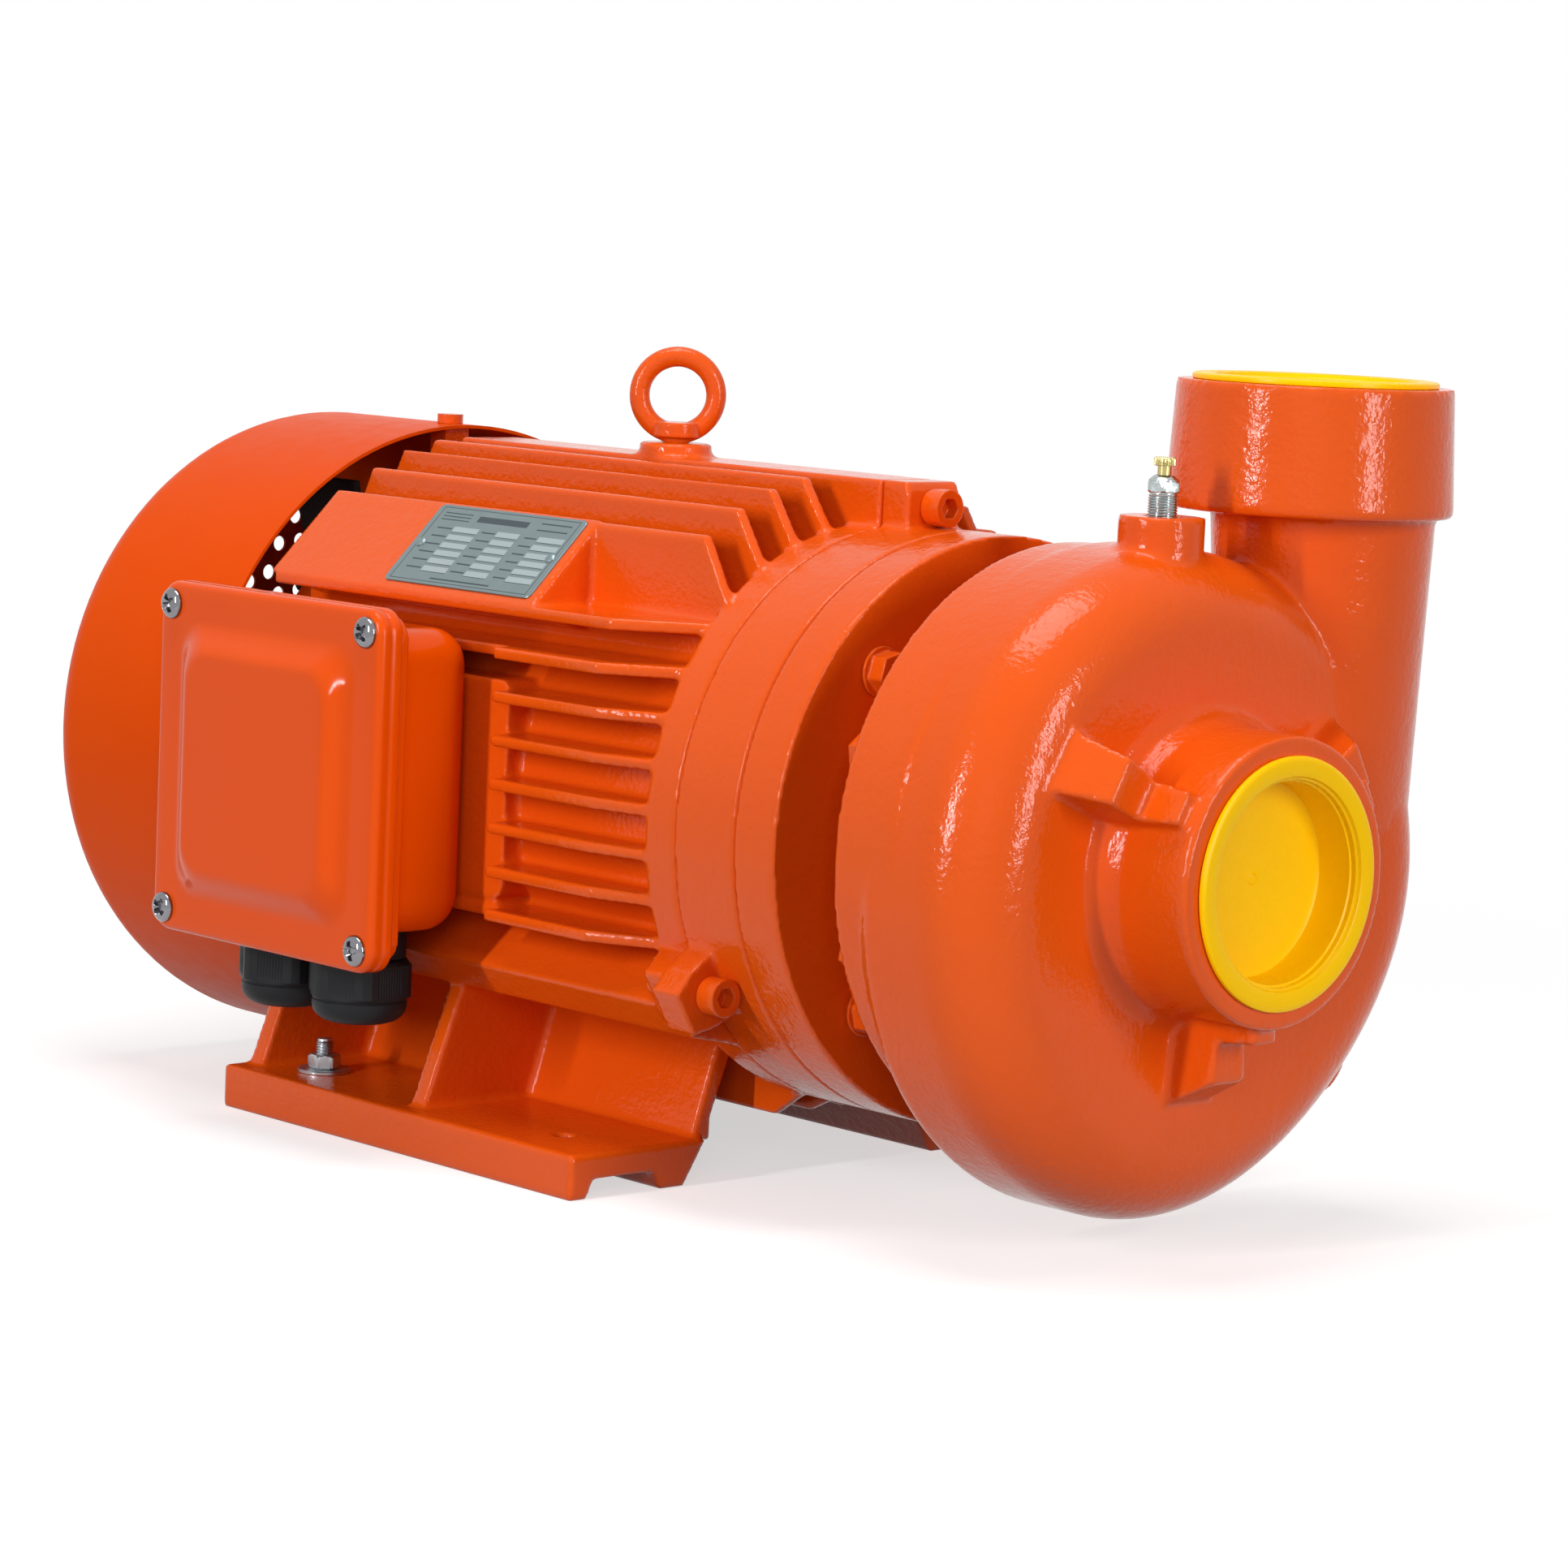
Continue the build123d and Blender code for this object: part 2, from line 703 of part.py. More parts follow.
# Fan cowl: a drawn steel cup with a perforated back
with BuildPart() as fan_cowl:
    with BuildSketch(side_view):
        with BuildLine():
            Line((fan_cowl_back, 0), (fan_cowl_back, fan_cowl_r - cowl_corner))
            RadiusArc(
                (fan_cowl_back, fan_cowl_r - cowl_corner), (fan_cowl_back + cowl_corner, fan_cowl_r),
                cowl_corner,
            )
            Line((fan_cowl_back + cowl_corner, fan_cowl_r), (fan_cowl_front, fan_cowl_r))
            Line((fan_cowl_front, fan_cowl_r), (fan_cowl_front, fan_cowl_r - cowl_wall))
            Line((fan_cowl_front, fan_cowl_r - cowl_wall), (fan_cowl_back + cowl_corner, fan_cowl_r - cowl_wall))
            RadiusArc(
                (fan_cowl_back + cowl_corner, fan_cowl_r - cowl_wall),
                (fan_cowl_back + cowl_wall, fan_cowl_r - cowl_corner), -(cowl_corner - cowl_wall),
            )
            Line((fan_cowl_back + cowl_wall, fan_cowl_r - cowl_corner), (fan_cowl_back + cowl_wall, 0))
            Line((fan_cowl_back + cowl_wall, 0), (fan_cowl_back, 0))
        make_face()
    revolve(axis=shaft_line)
    with BuildSketch(across(fan_cowl_back - 1)):
        for ring in range(2, 10):
            ring_r = ring * grille_pitch
            with PolarLocations(ring_r, int(2 * pi * ring_r / grille_pitch)):
                Circle(grille_hole_r)
    extrude(amount=cowl_wall + 2, mode=Mode.SUBTRACT)
    for angle in (0, 90, 180, 270):
        with Locations(outward(cowl_screw_x, angle, fan_cowl_r)):
            Hole(3.2, depth=4)
write(fan_cowl, "fan_cowl")

with BuildPart() as cowl_screws:
    for angle in (0, 90, 180, 270):
        with Locations(outward(cowl_screw_x, angle, fan_cowl_r)):
            Cylinder(6, 4.4, align=(Align.CENTER, Align.CENTER, Align.MIN))
            Cylinder(2.4, 14, align=(Align.CENTER, Align.CENTER, Align.MAX))
write(cowl_screws, "cowl_screws")

# Eye bolt: ring, collar and shank, turned as it stands in the photograph
ring_r = (eye_ring_outer + eye_ring_hole) / 2
wire_r = (eye_ring_outer - eye_ring_hole) / 2
with BuildPart() as eye_bolt:
    with Locations(Location((eye_x, 0, eye_centre_z), (90, 0, eye_turn))):
        Torus(ring_r, wire_r)
    with Locations((eye_x, 0, eye_boss_top + eye_neck_t)):
        Cylinder(eye_collar_r, eye_collar_t, align=(Align.CENTER, Align.CENTER, Align.MIN))
    with Locations((eye_x, 0, eye_boss_top)):
        Cylinder(m10_r + 0.8, eye_neck_t, align=(Align.CENTER, Align.CENTER, Align.MIN))
        Cylinder(m10_r - 0.1, 15, align=(Align.CENTER, Align.CENTER, Align.MAX))
write(eye_bolt, "eye_bolt")

# Nameplate and its rivets
with BuildPart() as nameplate:
    with BuildSketch(pad_plane):
        RectangleRounded(plate_length, plate_width, 3)
        with Locations((-rivet_spacing / 2, 0), (rivet_spacing / 2, 0)):
            Circle(rivet_r + 0.1, mode=Mode.SUBTRACT)
    extrude(amount=plate_t)
write(nameplate, "nameplate")

with BuildPart() as nameplate_rivets:
    with Locations(pad_plane.offset(plate_t)):
        with Locations((-rivet_spacing / 2, 0), (rivet_spacing / 2, 0)):
            Cylinder(rivet_r + 0.8, 0.8, align=(Align.CENTER, Align.CENTER, Align.MIN))
            Cylinder(rivet_r, plate_t, align=(Align.CENTER, Align.CENTER, Align.MAX))
write(nameplate_rivets, "nameplate_rivets")

# Terminal box base: an open tray with two gland holes below
rim_y = cover_face - cover_t
base_front = rim_y - gasket_t
base_width = cover_width - 2 * box_inset
base_height = cover_height - 2 * box_inset
gland_x = [box_x - gland_spacing / 2, box_x + gland_spacing / 2]
base_bottom = tray_z - tray_height / 2
with BuildPart() as terminal_box_base:
    with BuildSketch(facing_box(box_pad_face)):
        with Locations((box_x, tray_z)):
            RectangleRounded(tray_width, tray_height, tray_corner)
    extrude(amount=base_front - box_pad_face)
    fillet(terminal_box_base.faces().sort_by(Axis.Y)[-1].edges(), tray_round)
    with BuildSketch(facing_box(base_front - box_flange_t)):
        with Locations((box_x, box_z)):
            RectangleRounded(base_width, base_height, cover_corner)
    extrude(amount=box_flange_t)
    # The hollow narrows towards the floor, inside the rounded rear corners
    for depth, inset in ((box_wall, box_wall + tray_floor_inset), (tray_round, box_wall)):
        with BuildSketch(facing_box(box_pad_face + depth)):
            with Locations((box_x, tray_z)):
                RectangleRounded(tray_width - 2 * inset, tray_height - 2 * inset, tray_corner - box_wall)
    loft(ruled=True, mode=Mode.SUBTRACT)
    with BuildSketch(facing_box(box_pad_face + tray_round)):
        with Locations((box_x, tray_z)):
            RectangleRounded(tray_width - 2 * box_wall, tray_height - 2 * box_wall, tray_corner - box_wall)
    extrude(amount=base_front - box_pad_face, mode=Mode.SUBTRACT)
    with Locations(facing_box(base_front) * Location((box_x, box_z, 0))):
        with GridLocations(cover_screw_dx, cover_screw_dz, 2, 2):
            Hole(cover_screw_r - 0.2, depth=box_flange_t)
    with Locations(facing_box(box_pad_face + box_wall) * Location((box_x, box_z, 0))):
        Hole(18, depth=box_wall)
        with GridLocations(70, 70, 2, 2):
            Hole(2.7, depth=box_wall)
    for x in gland_x:
        with Locations(Plane(origin=(x, -gland_y, base_bottom), z_dir=(0, 0, -1))):
            Hole(gland_thread_r, depth=box_wall + 12)
    # Flats inside for the gland lock nuts
    with BuildSketch(Plane.XY.offset(base_bottom + box_wall)):
        with Locations(*[(x, -gland_y) for x in gland_x]):
            RegularPolygon(lock_nut_flats / 2 + seat_gap, 6, major_radius=False)
    extrude(amount=8, mode=Mode.SUBTRACT)
write(terminal_box_base, "terminal_box_base")

with BuildPart() as box_screws:
    with Locations(facing_box(box_pad_face + box_wall) * Location((box_x, box_z, 0))):
        with GridLocations(70, 70, 2, 2):
            Cylinder(4.6, 3.6, align=(Align.CENTER, Align.CENTER, Align.MIN))
            Cylinder(2.4, box_wall + 10, align=(Align.CENTER, Align.CENTER, Align.MAX))
write(box_screws, "box_screws")

with BuildPart() as cover_gasket:
    with BuildSketch(facing_box(base_front)):
        with Locations((box_x, box_z)):
            RectangleRounded(base_width, base_height, cover_corner)
            RectangleRounded(base_width - 12, base_height - 12, cover_corner - 5, mode=Mode.SUBTRACT)
            with GridLocations(cover_screw_dx, cover_screw_dz, 2, 2):
                Circle(6.6)
                Circle(3.2, mode=Mode.SUBTRACT)
    extrude(amount=gasket_t)
write(cover_gasket, "cover_gasket")

with BuildPart() as terminal_box_cover:
    with BuildSketch(facing_box(rim_y)):
        with Locations((box_x, box_z)):
            RectangleRounded(cover_width, cover_height, cover_corner)
    extrude(amount=cover_t)
    fillet(terminal_box_cover.faces().sort_by(Axis.Y)[0].edges(), 3)
    with BuildSketch(facing_box(cover_face)):
        with Locations((box_x, box_z)):
            RectangleRounded(pillow_width, pillow_height, 14)
    extrude(amount=pillow_rise, taper=30)
    with BuildSketch(facing_box(rim_y)):
        with Locations((box_x, box_z)):
            RectangleRounded(pillow_width - 8, pillow_height - 8, 8)
    extrude(amount=cover_t, mode=Mode.SUBTRACT)
    with Locations(facing_box(cover_face) * Location((box_x, box_z, 0))):
        with GridLocations(cover_screw_dx, cover_screw_dz, 2, 2):
            Hole(cover_screw_r + 0.3, depth=cover_t)
write(terminal_box_cover, "terminal_box_cover")

with BuildPart() as cover_screws:
    with Locations(facing_box(cover_face) * Location((box_x, box_z, 0))):
        with GridLocations(cover_screw_dx, cover_screw_dz, 2, 2):
            Cylinder(cover_screw_head_r, 3.4, align=(Align.CENTER, Align.CENTER, Align.MIN))
            Cylinder(cover_screw_r - 0.3, cover_t + gasket_t + box_flange_t - 1,
                     align=(Align.CENTER, Align.CENTER, Align.MAX))
    fillet(cover_screws.faces().group_by(Axis.Y)[0].edges(), 1.8)
    for turn in (20, 110):
        with BuildSketch(facing_box(cover_face + 1.2)):
            with Locations((box_x, box_z)):
                with GridLocations(cover_screw_dx, cover_screw_dz, 2, 2):
                    with Locations(Location((0, 0, 0), (0, 0, turn))):
                        Rectangle(6.4, 1.3)
        extrude(amount=4, mode=Mode.SUBTRACT)
write(cover_screws, "cover_screws")

with BuildPart() as terminal_board:
    with BuildSketch(facing_box(box_pad_face + box_wall)):
        with Locations((box_x, box_z + 4)):
            with GridLocations(46, 0.01, 2, 1):
                Rectangle(10, 40)
    extrude(amount=7)
    with BuildSketch(facing_box(box_pad_face + box_wall + 7)):
        with Locations((box_x, box_z + 4)):
            RectangleRounded(78, 52, 4)
    extrude(amount=6)
write(terminal_board, "terminal_board")

board_face = box_pad_face + box_wall + 13
with BuildPart() as terminal_studs:
    with Locations(facing_box(board_face) * Location((box_x, box_z + 4, 0))):
        with GridLocations(24, 26, 3, 2):
            Cylinder(2.5, 17, align=(Align.CENTER, Align.CENTER, Align.MIN))
    with BuildSketch(facing_box(board_face)):
        with Locations((box_x, box_z + 4)):
            with GridLocations(24, 26, 3, 2):
                RegularPolygon(4, 6, major_radius=False)
    extrude(amount=4)
write(terminal_studs, "terminal_studs")

# Cable glands: a body with its thread through the wall, and a hexagon nut with a domed end
gland_places = [(x, -gland_y) for x in gland_x]
gland_top = base_bottom
nut_top = gland_top - gland_hex_t - seat_gap
with BuildPart() as gland_bodies:
    with BuildSketch(Plane.XY.offset(gland_top - gland_hex_t)):
        with Locations(*gland_places):
            RegularPolygon(gland_body_flats / 2, 6, major_radius=False)
    extrude(amount=gland_hex_t)
    with BuildSketch(Plane.XY.offset(nut_top - gland_nut_t + gland_dome_t)):
        with Locations(*gland_places):
            Circle(gland_thread_r - seat_gap)
    extrude(amount=gland_nut_t - gland_dome_t + gland_hex_t + box_wall + 6)
    with Locations(*[(x, y, gland_top + box_wall + 10) for x, y in gland_places]):
        Hole(gland_bore_r, depth=60)
write(gland_bodies, "gland_bodies")

with BuildPart() as gland_nuts:
    with BuildSketch(Plane.XY.offset(nut_top)):
        with Locations(*gland_places):
            RegularPolygon(gland_flats / 2, 6, major_radius=False)
    extrude(amount=gland_dome_t - gland_nut_t)
    chamfer(gland_nuts.faces().filter_by(Axis.Z).edges(), 1.5)
    with BuildSketch(Plane.XY.offset(nut_top - gland_nut_t)):
        with Locations(*gland_places):
            Circle(gland_dome_r)
    extrude(amount=gland_dome_t + 2)
    fillet(gland_nuts.faces().sort_by(Axis.Z)[0:2].edges(), 7)
    with Locations(*[(x, y, nut_top) for x, y in gland_places]):
        Hole(gland_thread_r, depth=gland_nut_t - gland_dome_t + seat_gap)
        Hole(gland_bore_r + 0.5, depth=gland_nut_t)
write(gland_nuts, "gland_nuts")

with BuildPart() as gland_lock_nuts:
    with BuildSketch(Plane.XY.offset(base_bottom + box_wall)):
        with Locations(*[(x, -gland_y) for x in gland_x]):
            RegularPolygon(lock_nut_flats / 2, 6, major_radius=False)
            Circle(gland_thread_r, mode=Mode.SUBTRACT)
    extrude(amount=4)
write(gland_lock_nuts, "gland_lock_nuts")

# Bolt, washer and nut in the near rear foot hole
bolt_x = -bolt_spacing_x / 2
bolt_y = -bolt_spacing_y / 2
with BuildPart() as foot_bolt:
    with BuildSketch(Plane.XY.offset(foot_recess_depth - 5.3)):
        with Locations((bolt_x, bolt_y)):
            RegularPolygon(6.5, 6, major_radius=False)
    extrude(amount=5.3)
    with Locations((bolt_x, bolt_y, foot_recess_depth)):
        Cylinder(4, foot_thickness - foot_recess_depth + 16, align=(Align.CENTER, Align.CENTER, Align.MIN))
    chamfer(foot_bolt.faces().sort_by(Axis.Z)[-1].edges(), 0.8)
write(foot_bolt, "foot_bolt")

with BuildPart() as foot_washer:
    with BuildSketch(Plane.XY.offset(foot_thickness)):
        with Locations((bolt_x, bolt_y)):
            Circle(12)
            Circle(4.2, mode=Mode.SUBTRACT)
    extrude(amount=1.6)
write(foot_washer, "foot_washer")

with BuildPart() as foot_nut:
    with BuildSketch(Plane.XY.offset(foot_thickness + 1.6)):
        with Locations((bolt_x, bolt_y)):
            RegularPolygon(6.5, 6, major_radius=False)
            Circle(4, mode=Mode.SUBTRACT)
    extrude(amount=6.5)
write(foot_nut, "foot_nut")

# Retaining ring and lip seal of the drive bearing
with BuildPart() as bearing_circlip:
    with BuildSketch(across(circlip_x)):
        Circle(circlip_r - 0.2)
        Circle(drive_bearing_r - 5, mode=Mode.SUBTRACT)
        with Locations((0, drive_bearing_r - 4)):
            Rectangle(12, 16, mode=Mode.SUBTRACT)
    extrude(amount=circlip_t)
write(bearing_circlip, "bearing_circlip")

with BuildPart() as lip_seal:
    with BuildSketch(side_view):
        with BuildLine():
            Polyline(
                (lip_seal_x, lip_seal_r), (lip_seal_x + 8, lip_seal_r), (lip_seal_x + 8, drive_journal_r + 2),
                (lip_seal_x + 5, drive_journal_r + running_gap),
                (lip_seal_x + 4, drive_journal_r + running_gap),
                (lip_seal_x + 2, drive_journal_r + 3), (lip_seal_x + 6, drive_journal_r + 4),
                (lip_seal_x + 6, lip_seal_r - 2), (lip_seal_x, lip_seal_r - 2), close=True,
            )
        make_face()
    revolve(axis=shaft_line)
write(lip_seal, "lip_seal")

# Bracket between motor and pump, which also closes the back of the casing
with BuildPart() as pump_bracket:
    with BuildSketch(side_view):
        with BuildLine():
            Polyline(
                (lip_seal_x, lip_seal_r), (lip_seal_x, drive_bearing_r - 7 - seat_gap),
                (shield_front, drive_bearing_r - 7 - seat_gap), (shield_front, collar_r),
                (flange_front, collar_r),
                (flange_front, neck_r), (cover_back, neck_r), (cover_back, cover_flange_r),
                (rim_back - casing_gasket_t, cover_flange_r), (rim_back - casing_gasket_t, cover_pilot_r),
                (cover_front, cover_pilot_r), (cover_front, cover_pilot_r - 10),
                (seal_face_x, cover_pilot_r - 15),
                (seal_face_x, seal_seat_r), (seal_face_x - seal_seat_t, seal_seat_r),
                (seal_face_x - seal_seat_t, pump_shaft_r + 4), (cover_back - 3, pump_shaft_r + 4),
                (cover_back - 6, 40), (cover_back - 10, neck_r - 12), (flange_front - 14, neck_r - 12),
                (flange_front - 18, 52), (flange_front - 18, lip_seal_r), close=True,
            )
        make_face()
    revolve(axis=shaft_line)
    # Openings in the neck, where leaked water drains away
    for angle in (0, 180, 270):
        with BuildSketch(outward((flange_front + cover_back) / 2 + 2, angle, neck_r - 30)):
            RectangleRounded(15, 56, 5)
        extrude(amount=40, mode=Mode.SUBTRACT)
    with Locations(across(flange_front)):
        with PolarLocations(bracket_bolt_circle, 4, start_angle=45):
            Hole(m10_r + 0.5, depth=flange_front - shield_front)
    with Locations(across(rim_back - casing_gasket_t)):
        with PolarLocations(casing_bolt_circle, casing_bolt_count, start_angle=22.5):
            Hole(casing_bolt_r + 0.5, depth=rim_back - cover_back)
write(pump_bracket, "pump_bracket")

# Hexagon flange bolts that hold the bracket to the motor
with BuildPart() as bracket_bolts:
    with Locations(across(flange_front)):
        with PolarLocations(bracket_bolt_circle, 4, start_angle=45):
            Cylinder(bracket_bolt_flange_r, 2, align=(Align.CENTER, Align.CENTER, Align.MIN))
            Cylinder(m10_r - seat_gap / 2, 38, align=(Align.CENTER, Align.CENTER, Align.MAX))
    with BuildSketch(across(flange_front + 2)):
        with PolarLocations(bracket_bolt_circle, 4, start_angle=45):
            RegularPolygon(bracket_bolt_flats / 2, 6, major_radius=False)
    extrude(amount=8)
write(bracket_bolts, "bracket_bolts")

# Bolts that hold the volute to the bracket, heads towards the motor
with BuildPart() as casing_bolts:
    with BuildSketch(across(cover_back)):
        with PolarLocations(casing_bolt_circle, casing_bolt_count, start_angle=22.5):
            RegularPolygon(casing_bolt_flats / 2, 6, major_radius=False)
    extrude(amount=-5.3)
    with BuildSketch(across(cover_back)):
        with PolarLocations(casing_bolt_circle, casing_bolt_count, start_angle=22.5):
            Circle(casing_bolt_r - seat_gap / 2)
    extrude(amount=rim_back - cover_back + 14)
write(casing_bolts, "casing_bolts")

with BuildPart() as casing_gasket:
    with BuildSketch(across(rim_back - casing_gasket_t)):
        Circle(cover_flange_r)
        Circle(cover_pilot_r + seat_gap, mode=Mode.SUBTRACT)
        with PolarLocations(casing_bolt_circle, casing_bolt_count, start_angle=22.5):
            Circle(casing_bolt_r + 0.5, mode=Mode.SUBTRACT)
    extrude(amount=casing_gasket_t)
write(casing_gasket, "casing_gasket")


# Points of the scroll outline, set in from the outer wall by the given distance
def scroll_points(inset):
    places = [
        (0, scroll_right), (30, scroll_upper_right), (60, scroll_top + 4), (90, scroll_top), (135, scroll_left),
        (180, scroll_left), (225, scroll_lower_left), (270, scroll_bottom), (315, scroll_lower_right),
    ]
    return [around(r - inset, angle) for angle, r in places]


# Outer shape of the scroll with its rounded front, and the room inside it
with BuildPart() as scroll_body:
    with BuildSketch(across(scroll_back)):
        with BuildLine():
            Spline(*scroll_points(0), periodic=True)
        make_face()
    extrude(amount=casing_front - scroll_back)
    fillet(scroll_body.faces().sort_by(Axis.X)[-1].edges(), front_round)
    fillet(scroll_body.faces().sort_by(Axis.X)[0].edges(), back_round)

with BuildPart() as scroll_room:
    with BuildSketch(across(rim_front)):
        with BuildLine():
            Spline(*scroll_points(casing_wall), periodic=True)
        make_face()
    extrude(amount=casing_front - casing_wall - rim_front)
    fillet(scroll_room.faces().sort_by(Axis.X)[-1].edges(), front_round - casing_wall)

# One of the three cast lugs beside the suction nozzle, in the place above the shaft
with BuildPart() as step_lug:
    with BuildSketch(across(casing_front - 8)):
        with BuildLine():
            Polyline((-10, nozzle_r - 9), (-14, 96), (14, 96), (10, nozzle_r - 9), close=True)
        make_face()
    extrude(amount=54, taper=5)
    with BuildSketch(side_view):
        with BuildLine():
            Polyline(
                (casing_front - 10, nozzle_r - 9), (casing_front - 10, 97), (casing_front - 2, 96),
                (nozzle_face - 24, 83), (nozzle_face - 24, 66), (nozzle_face - 6, 65),
                (nozzle_face - 6, nozzle_r - 9), close=True,
            )
        make_face()
    extrude(amount=20, both=True, mode=Mode.INTERSECT)

# Suction nozzle, turned about the shaft line, from the wear ring to its face
with BuildPart() as nozzle_body:
    with BuildSketch(side_view):
        with BuildLine():
            Polyline(
                (wear_ring_x, 0), (wear_ring_x, nozzle_r + 12), (casing_front - 1, nozzle_r + 9),
                (casing_front + 4, nozzle_r + 3), (casing_front + 12, nozzle_r), (nozzle_face - 1, nozzle_r),
                (nozzle_face, nozzle_r - 1), (nozzle_face, 0), close=True,
            )
        make_face()
    revolve(axis=shaft_line)

# Discharge neck, from an oval root in the scroll to a round top, and the collar on it
with BuildPart() as neck_body:
    with BuildSketch(Plane.XY.offset(shaft_height + 10)):
        with Locations((discharge_x, neck_y)):
            Ellipse(neck_root_half, discharge_r)
    with BuildSketch(Plane.XY.offset(neck_top_z)):
        with Locations((discharge_x, neck_y - neck_lean)):
            Circle(discharge_r)
    loft()
    with BuildSketch(Plane.XY.offset(collar_top_z)):
        with Locations((discharge_x, discharge_y)):
            Circle(collar_top_r)
    extrude(amount=-collar_height, taper=-collar_taper)
    fillet(neck_body.edges().filter_by(GeomType.CIRCLE).filter_by_position(
        Axis.Z, collar_top_z - collar_height - 1, collar_top_z - collar_height + 1), collar_edge_r)

# The part of the neck that is a piece of its own
with BuildPart() as neck_zone:
    add(neck_body.part)
    with Locations((discharge_x, neck_y, neck_cut_z)):
        Box(400, 400, 200, align=(Align.CENTER, Align.CENTER, Align.MAX), mode=Mode.SUBTRACT)

# Volute casing: rim, scroll, suction nozzle and lugs, discharge neck and collar, bleed boss
with BuildPart() as whole_casing:
    with BuildSketch(across(rim_back)):
        Circle(rim_r)
    extrude(amount=rim_front + 10 - rim_back)
    add(scroll_body.part)
    add(nozzle_body.part)
    for angle in step_lug_angles:
        add(step_lug.part.rotate(shaft_line, angle - 90))
    add(neck_body.part)
    with BuildSketch(Plane.XY.offset(boss_top_z)):
        with Locations((bleed_x, bleed_y)):
            Circle(boss_r)
    extrude(amount=-25)
    with BuildSketch(outward(discharge_x, drain_angle, drain_boss_reach)):
        Circle(drain_boss_r)
    extrude(amount=-20)
    # Room for the water: rear opening, scroll, neck passage and both threaded ports
    with BuildSketch(across(rim_back)):
        Circle(cover_pilot_r + seat_gap)
    extrude(amount=rim_front + 8 - rim_back, mode=Mode.SUBTRACT)
    add(scroll_room.part, mode=Mode.SUBTRACT)
    with BuildSketch(Plane.XY.offset(shaft_height + 20)):
        with Locations((discharge_x, neck_y)):
            Ellipse(neck_root_half - casing_wall, passage_r)
    with BuildSketch(Plane.XY.offset(neck_top_z)):
        with Locations((discharge_x, neck_y - neck_lean)):
            Circle(passage_r)
    loft(mode=Mode.SUBTRACT)
    with BuildSketch(Plane.XY.offset(collar_top_z)):
        with Locations((discharge_x, discharge_y)):
            Circle(port_bore_r)
    extrude(amount=-port_depth, mode=Mode.SUBTRACT)
    with BuildSketch(Plane.XY.offset(collar_top_z - port_depth)):
        with Locations((discharge_x, discharge_y + 4)):
            Circle(passage_r)
    extrude(amount=-20, mode=Mode.SUBTRACT)
    # Ring around the impeller eye, then the suction passage through it
    with BuildSketch(across(wear_ring_x)):
        Circle(wear_ring_outer + 9)
    extrude(amount=casing_front - wear_ring_x - 2)
    with BuildSketch(side_view):
        with BuildLine():
            Polyline(
                (wear_ring_x - 4, 0), (wear_ring_x - 4, wear_ring_outer), (eye_front + 1, wear_ring_outer),
                (eye_front + 1, passage_r), (nozzle_face - port_depth, passage_r),
                (nozzle_face - port_depth, port_bore_r), (nozzle_face, port_bore_r), (nozzle_face, 0), close=True,
            )
        make_face()
    revolve(axis=shaft_line, mode=Mode.SUBTRACT)
    with Locations(across(rim_back) * Location((0, 0, 0), (1, 0, 0), 180)):
        with PolarLocations(casing_bolt_circle, casing_bolt_count, start_angle=22.5):
            Hole(casing_bolt_r, depth=17)
    with Locations((bleed_x, bleed_y, boss_top_z)):
        Hole(bleed_thread_r, depth=30)
    with Locations(outward(discharge_x, drain_angle, drain_boss_reach)):
        Hole(drain_r, depth=40)

# The casting comes as three pieces that meet face to face, so that both water ways stay open
with BuildPart() as volute_casing:
    add(whole_casing.part)
    add(nozzle_body.part, mode=Mode.SUBTRACT)
    add(neck_zone.part, mode=Mode.SUBTRACT)
write(volute_casing, "volute_casing")

with BuildPart() as suction_nozzle:
    add(whole_casing.part)
    add(nozzle_body.part, mode=Mode.INTERSECT)
write(suction_nozzle, "suction_nozzle")

with BuildPart() as discharge_neck:
    add(whole_casing.part)
    add(neck_zone.part, mode=Mode.INTERSECT)
    add(nozzle_body.part, mode=Mode.SUBTRACT)
write(discharge_neck, "discharge_neck")
print("casing solids", [(len(p.part.solids()), round(p.part.volume)) for p in (
    whole_casing, volute_casing, suction_nozzle, discharge_neck)])

with BuildPart() as drain_plug:
    with Locations(outward(discharge_x, drain_angle, drain_boss_reach)):
        Cylinder(drain_r - seat_gap / 2, 12, align=(Align.CENTER, Align.CENTER, Align.MAX))
    with BuildSketch(outward(discharge_x, drain_angle, drain_boss_reach)):
        RegularPolygon(3, 6, major_radius=False)
    extrude(amount=-6, mode=Mode.SUBTRACT)
write(drain_plug, "drain_plug")

with BuildPart() as wear_ring:
    with BuildSketch(across(wear_ring_x)):
        Circle(wear_ring_outer)
        Circle(wear_ring_outer - wear_ring_wall + seat_gap, mode=Mode.SUBTRACT)
    extrude(amount=eye_front - wear_ring_x)
write(wear_ring, "wear_ring")

# Mechanical seal: a seat in the bracket, a turning head on the shaft and its spring
with BuildPart() as seal_seat:
    with BuildSketch(across(seal_face_x - seal_seat_t)):
        Circle(seal_seat_r)
        Circle(pump_shaft_r + 1.5, mode=Mode.SUBTRACT)
    extrude(amount=seal_seat_t)
write(seal_seat, "seal_seat")

with BuildPart() as seal_head:
    with BuildSketch(across(seal_face_x)):
        Circle(seal_head_r - 1)
        Circle(pump_shaft_r, mode=Mode.SUBTRACT)
    extrude(amount=2)
    with BuildSketch(across(seal_face_x + 2)):
        Circle(seal_head_r + 1)
        Circle(pump_shaft_r, mode=Mode.SUBTRACT)
    extrude(amount=5)
write(seal_head, "seal_head")

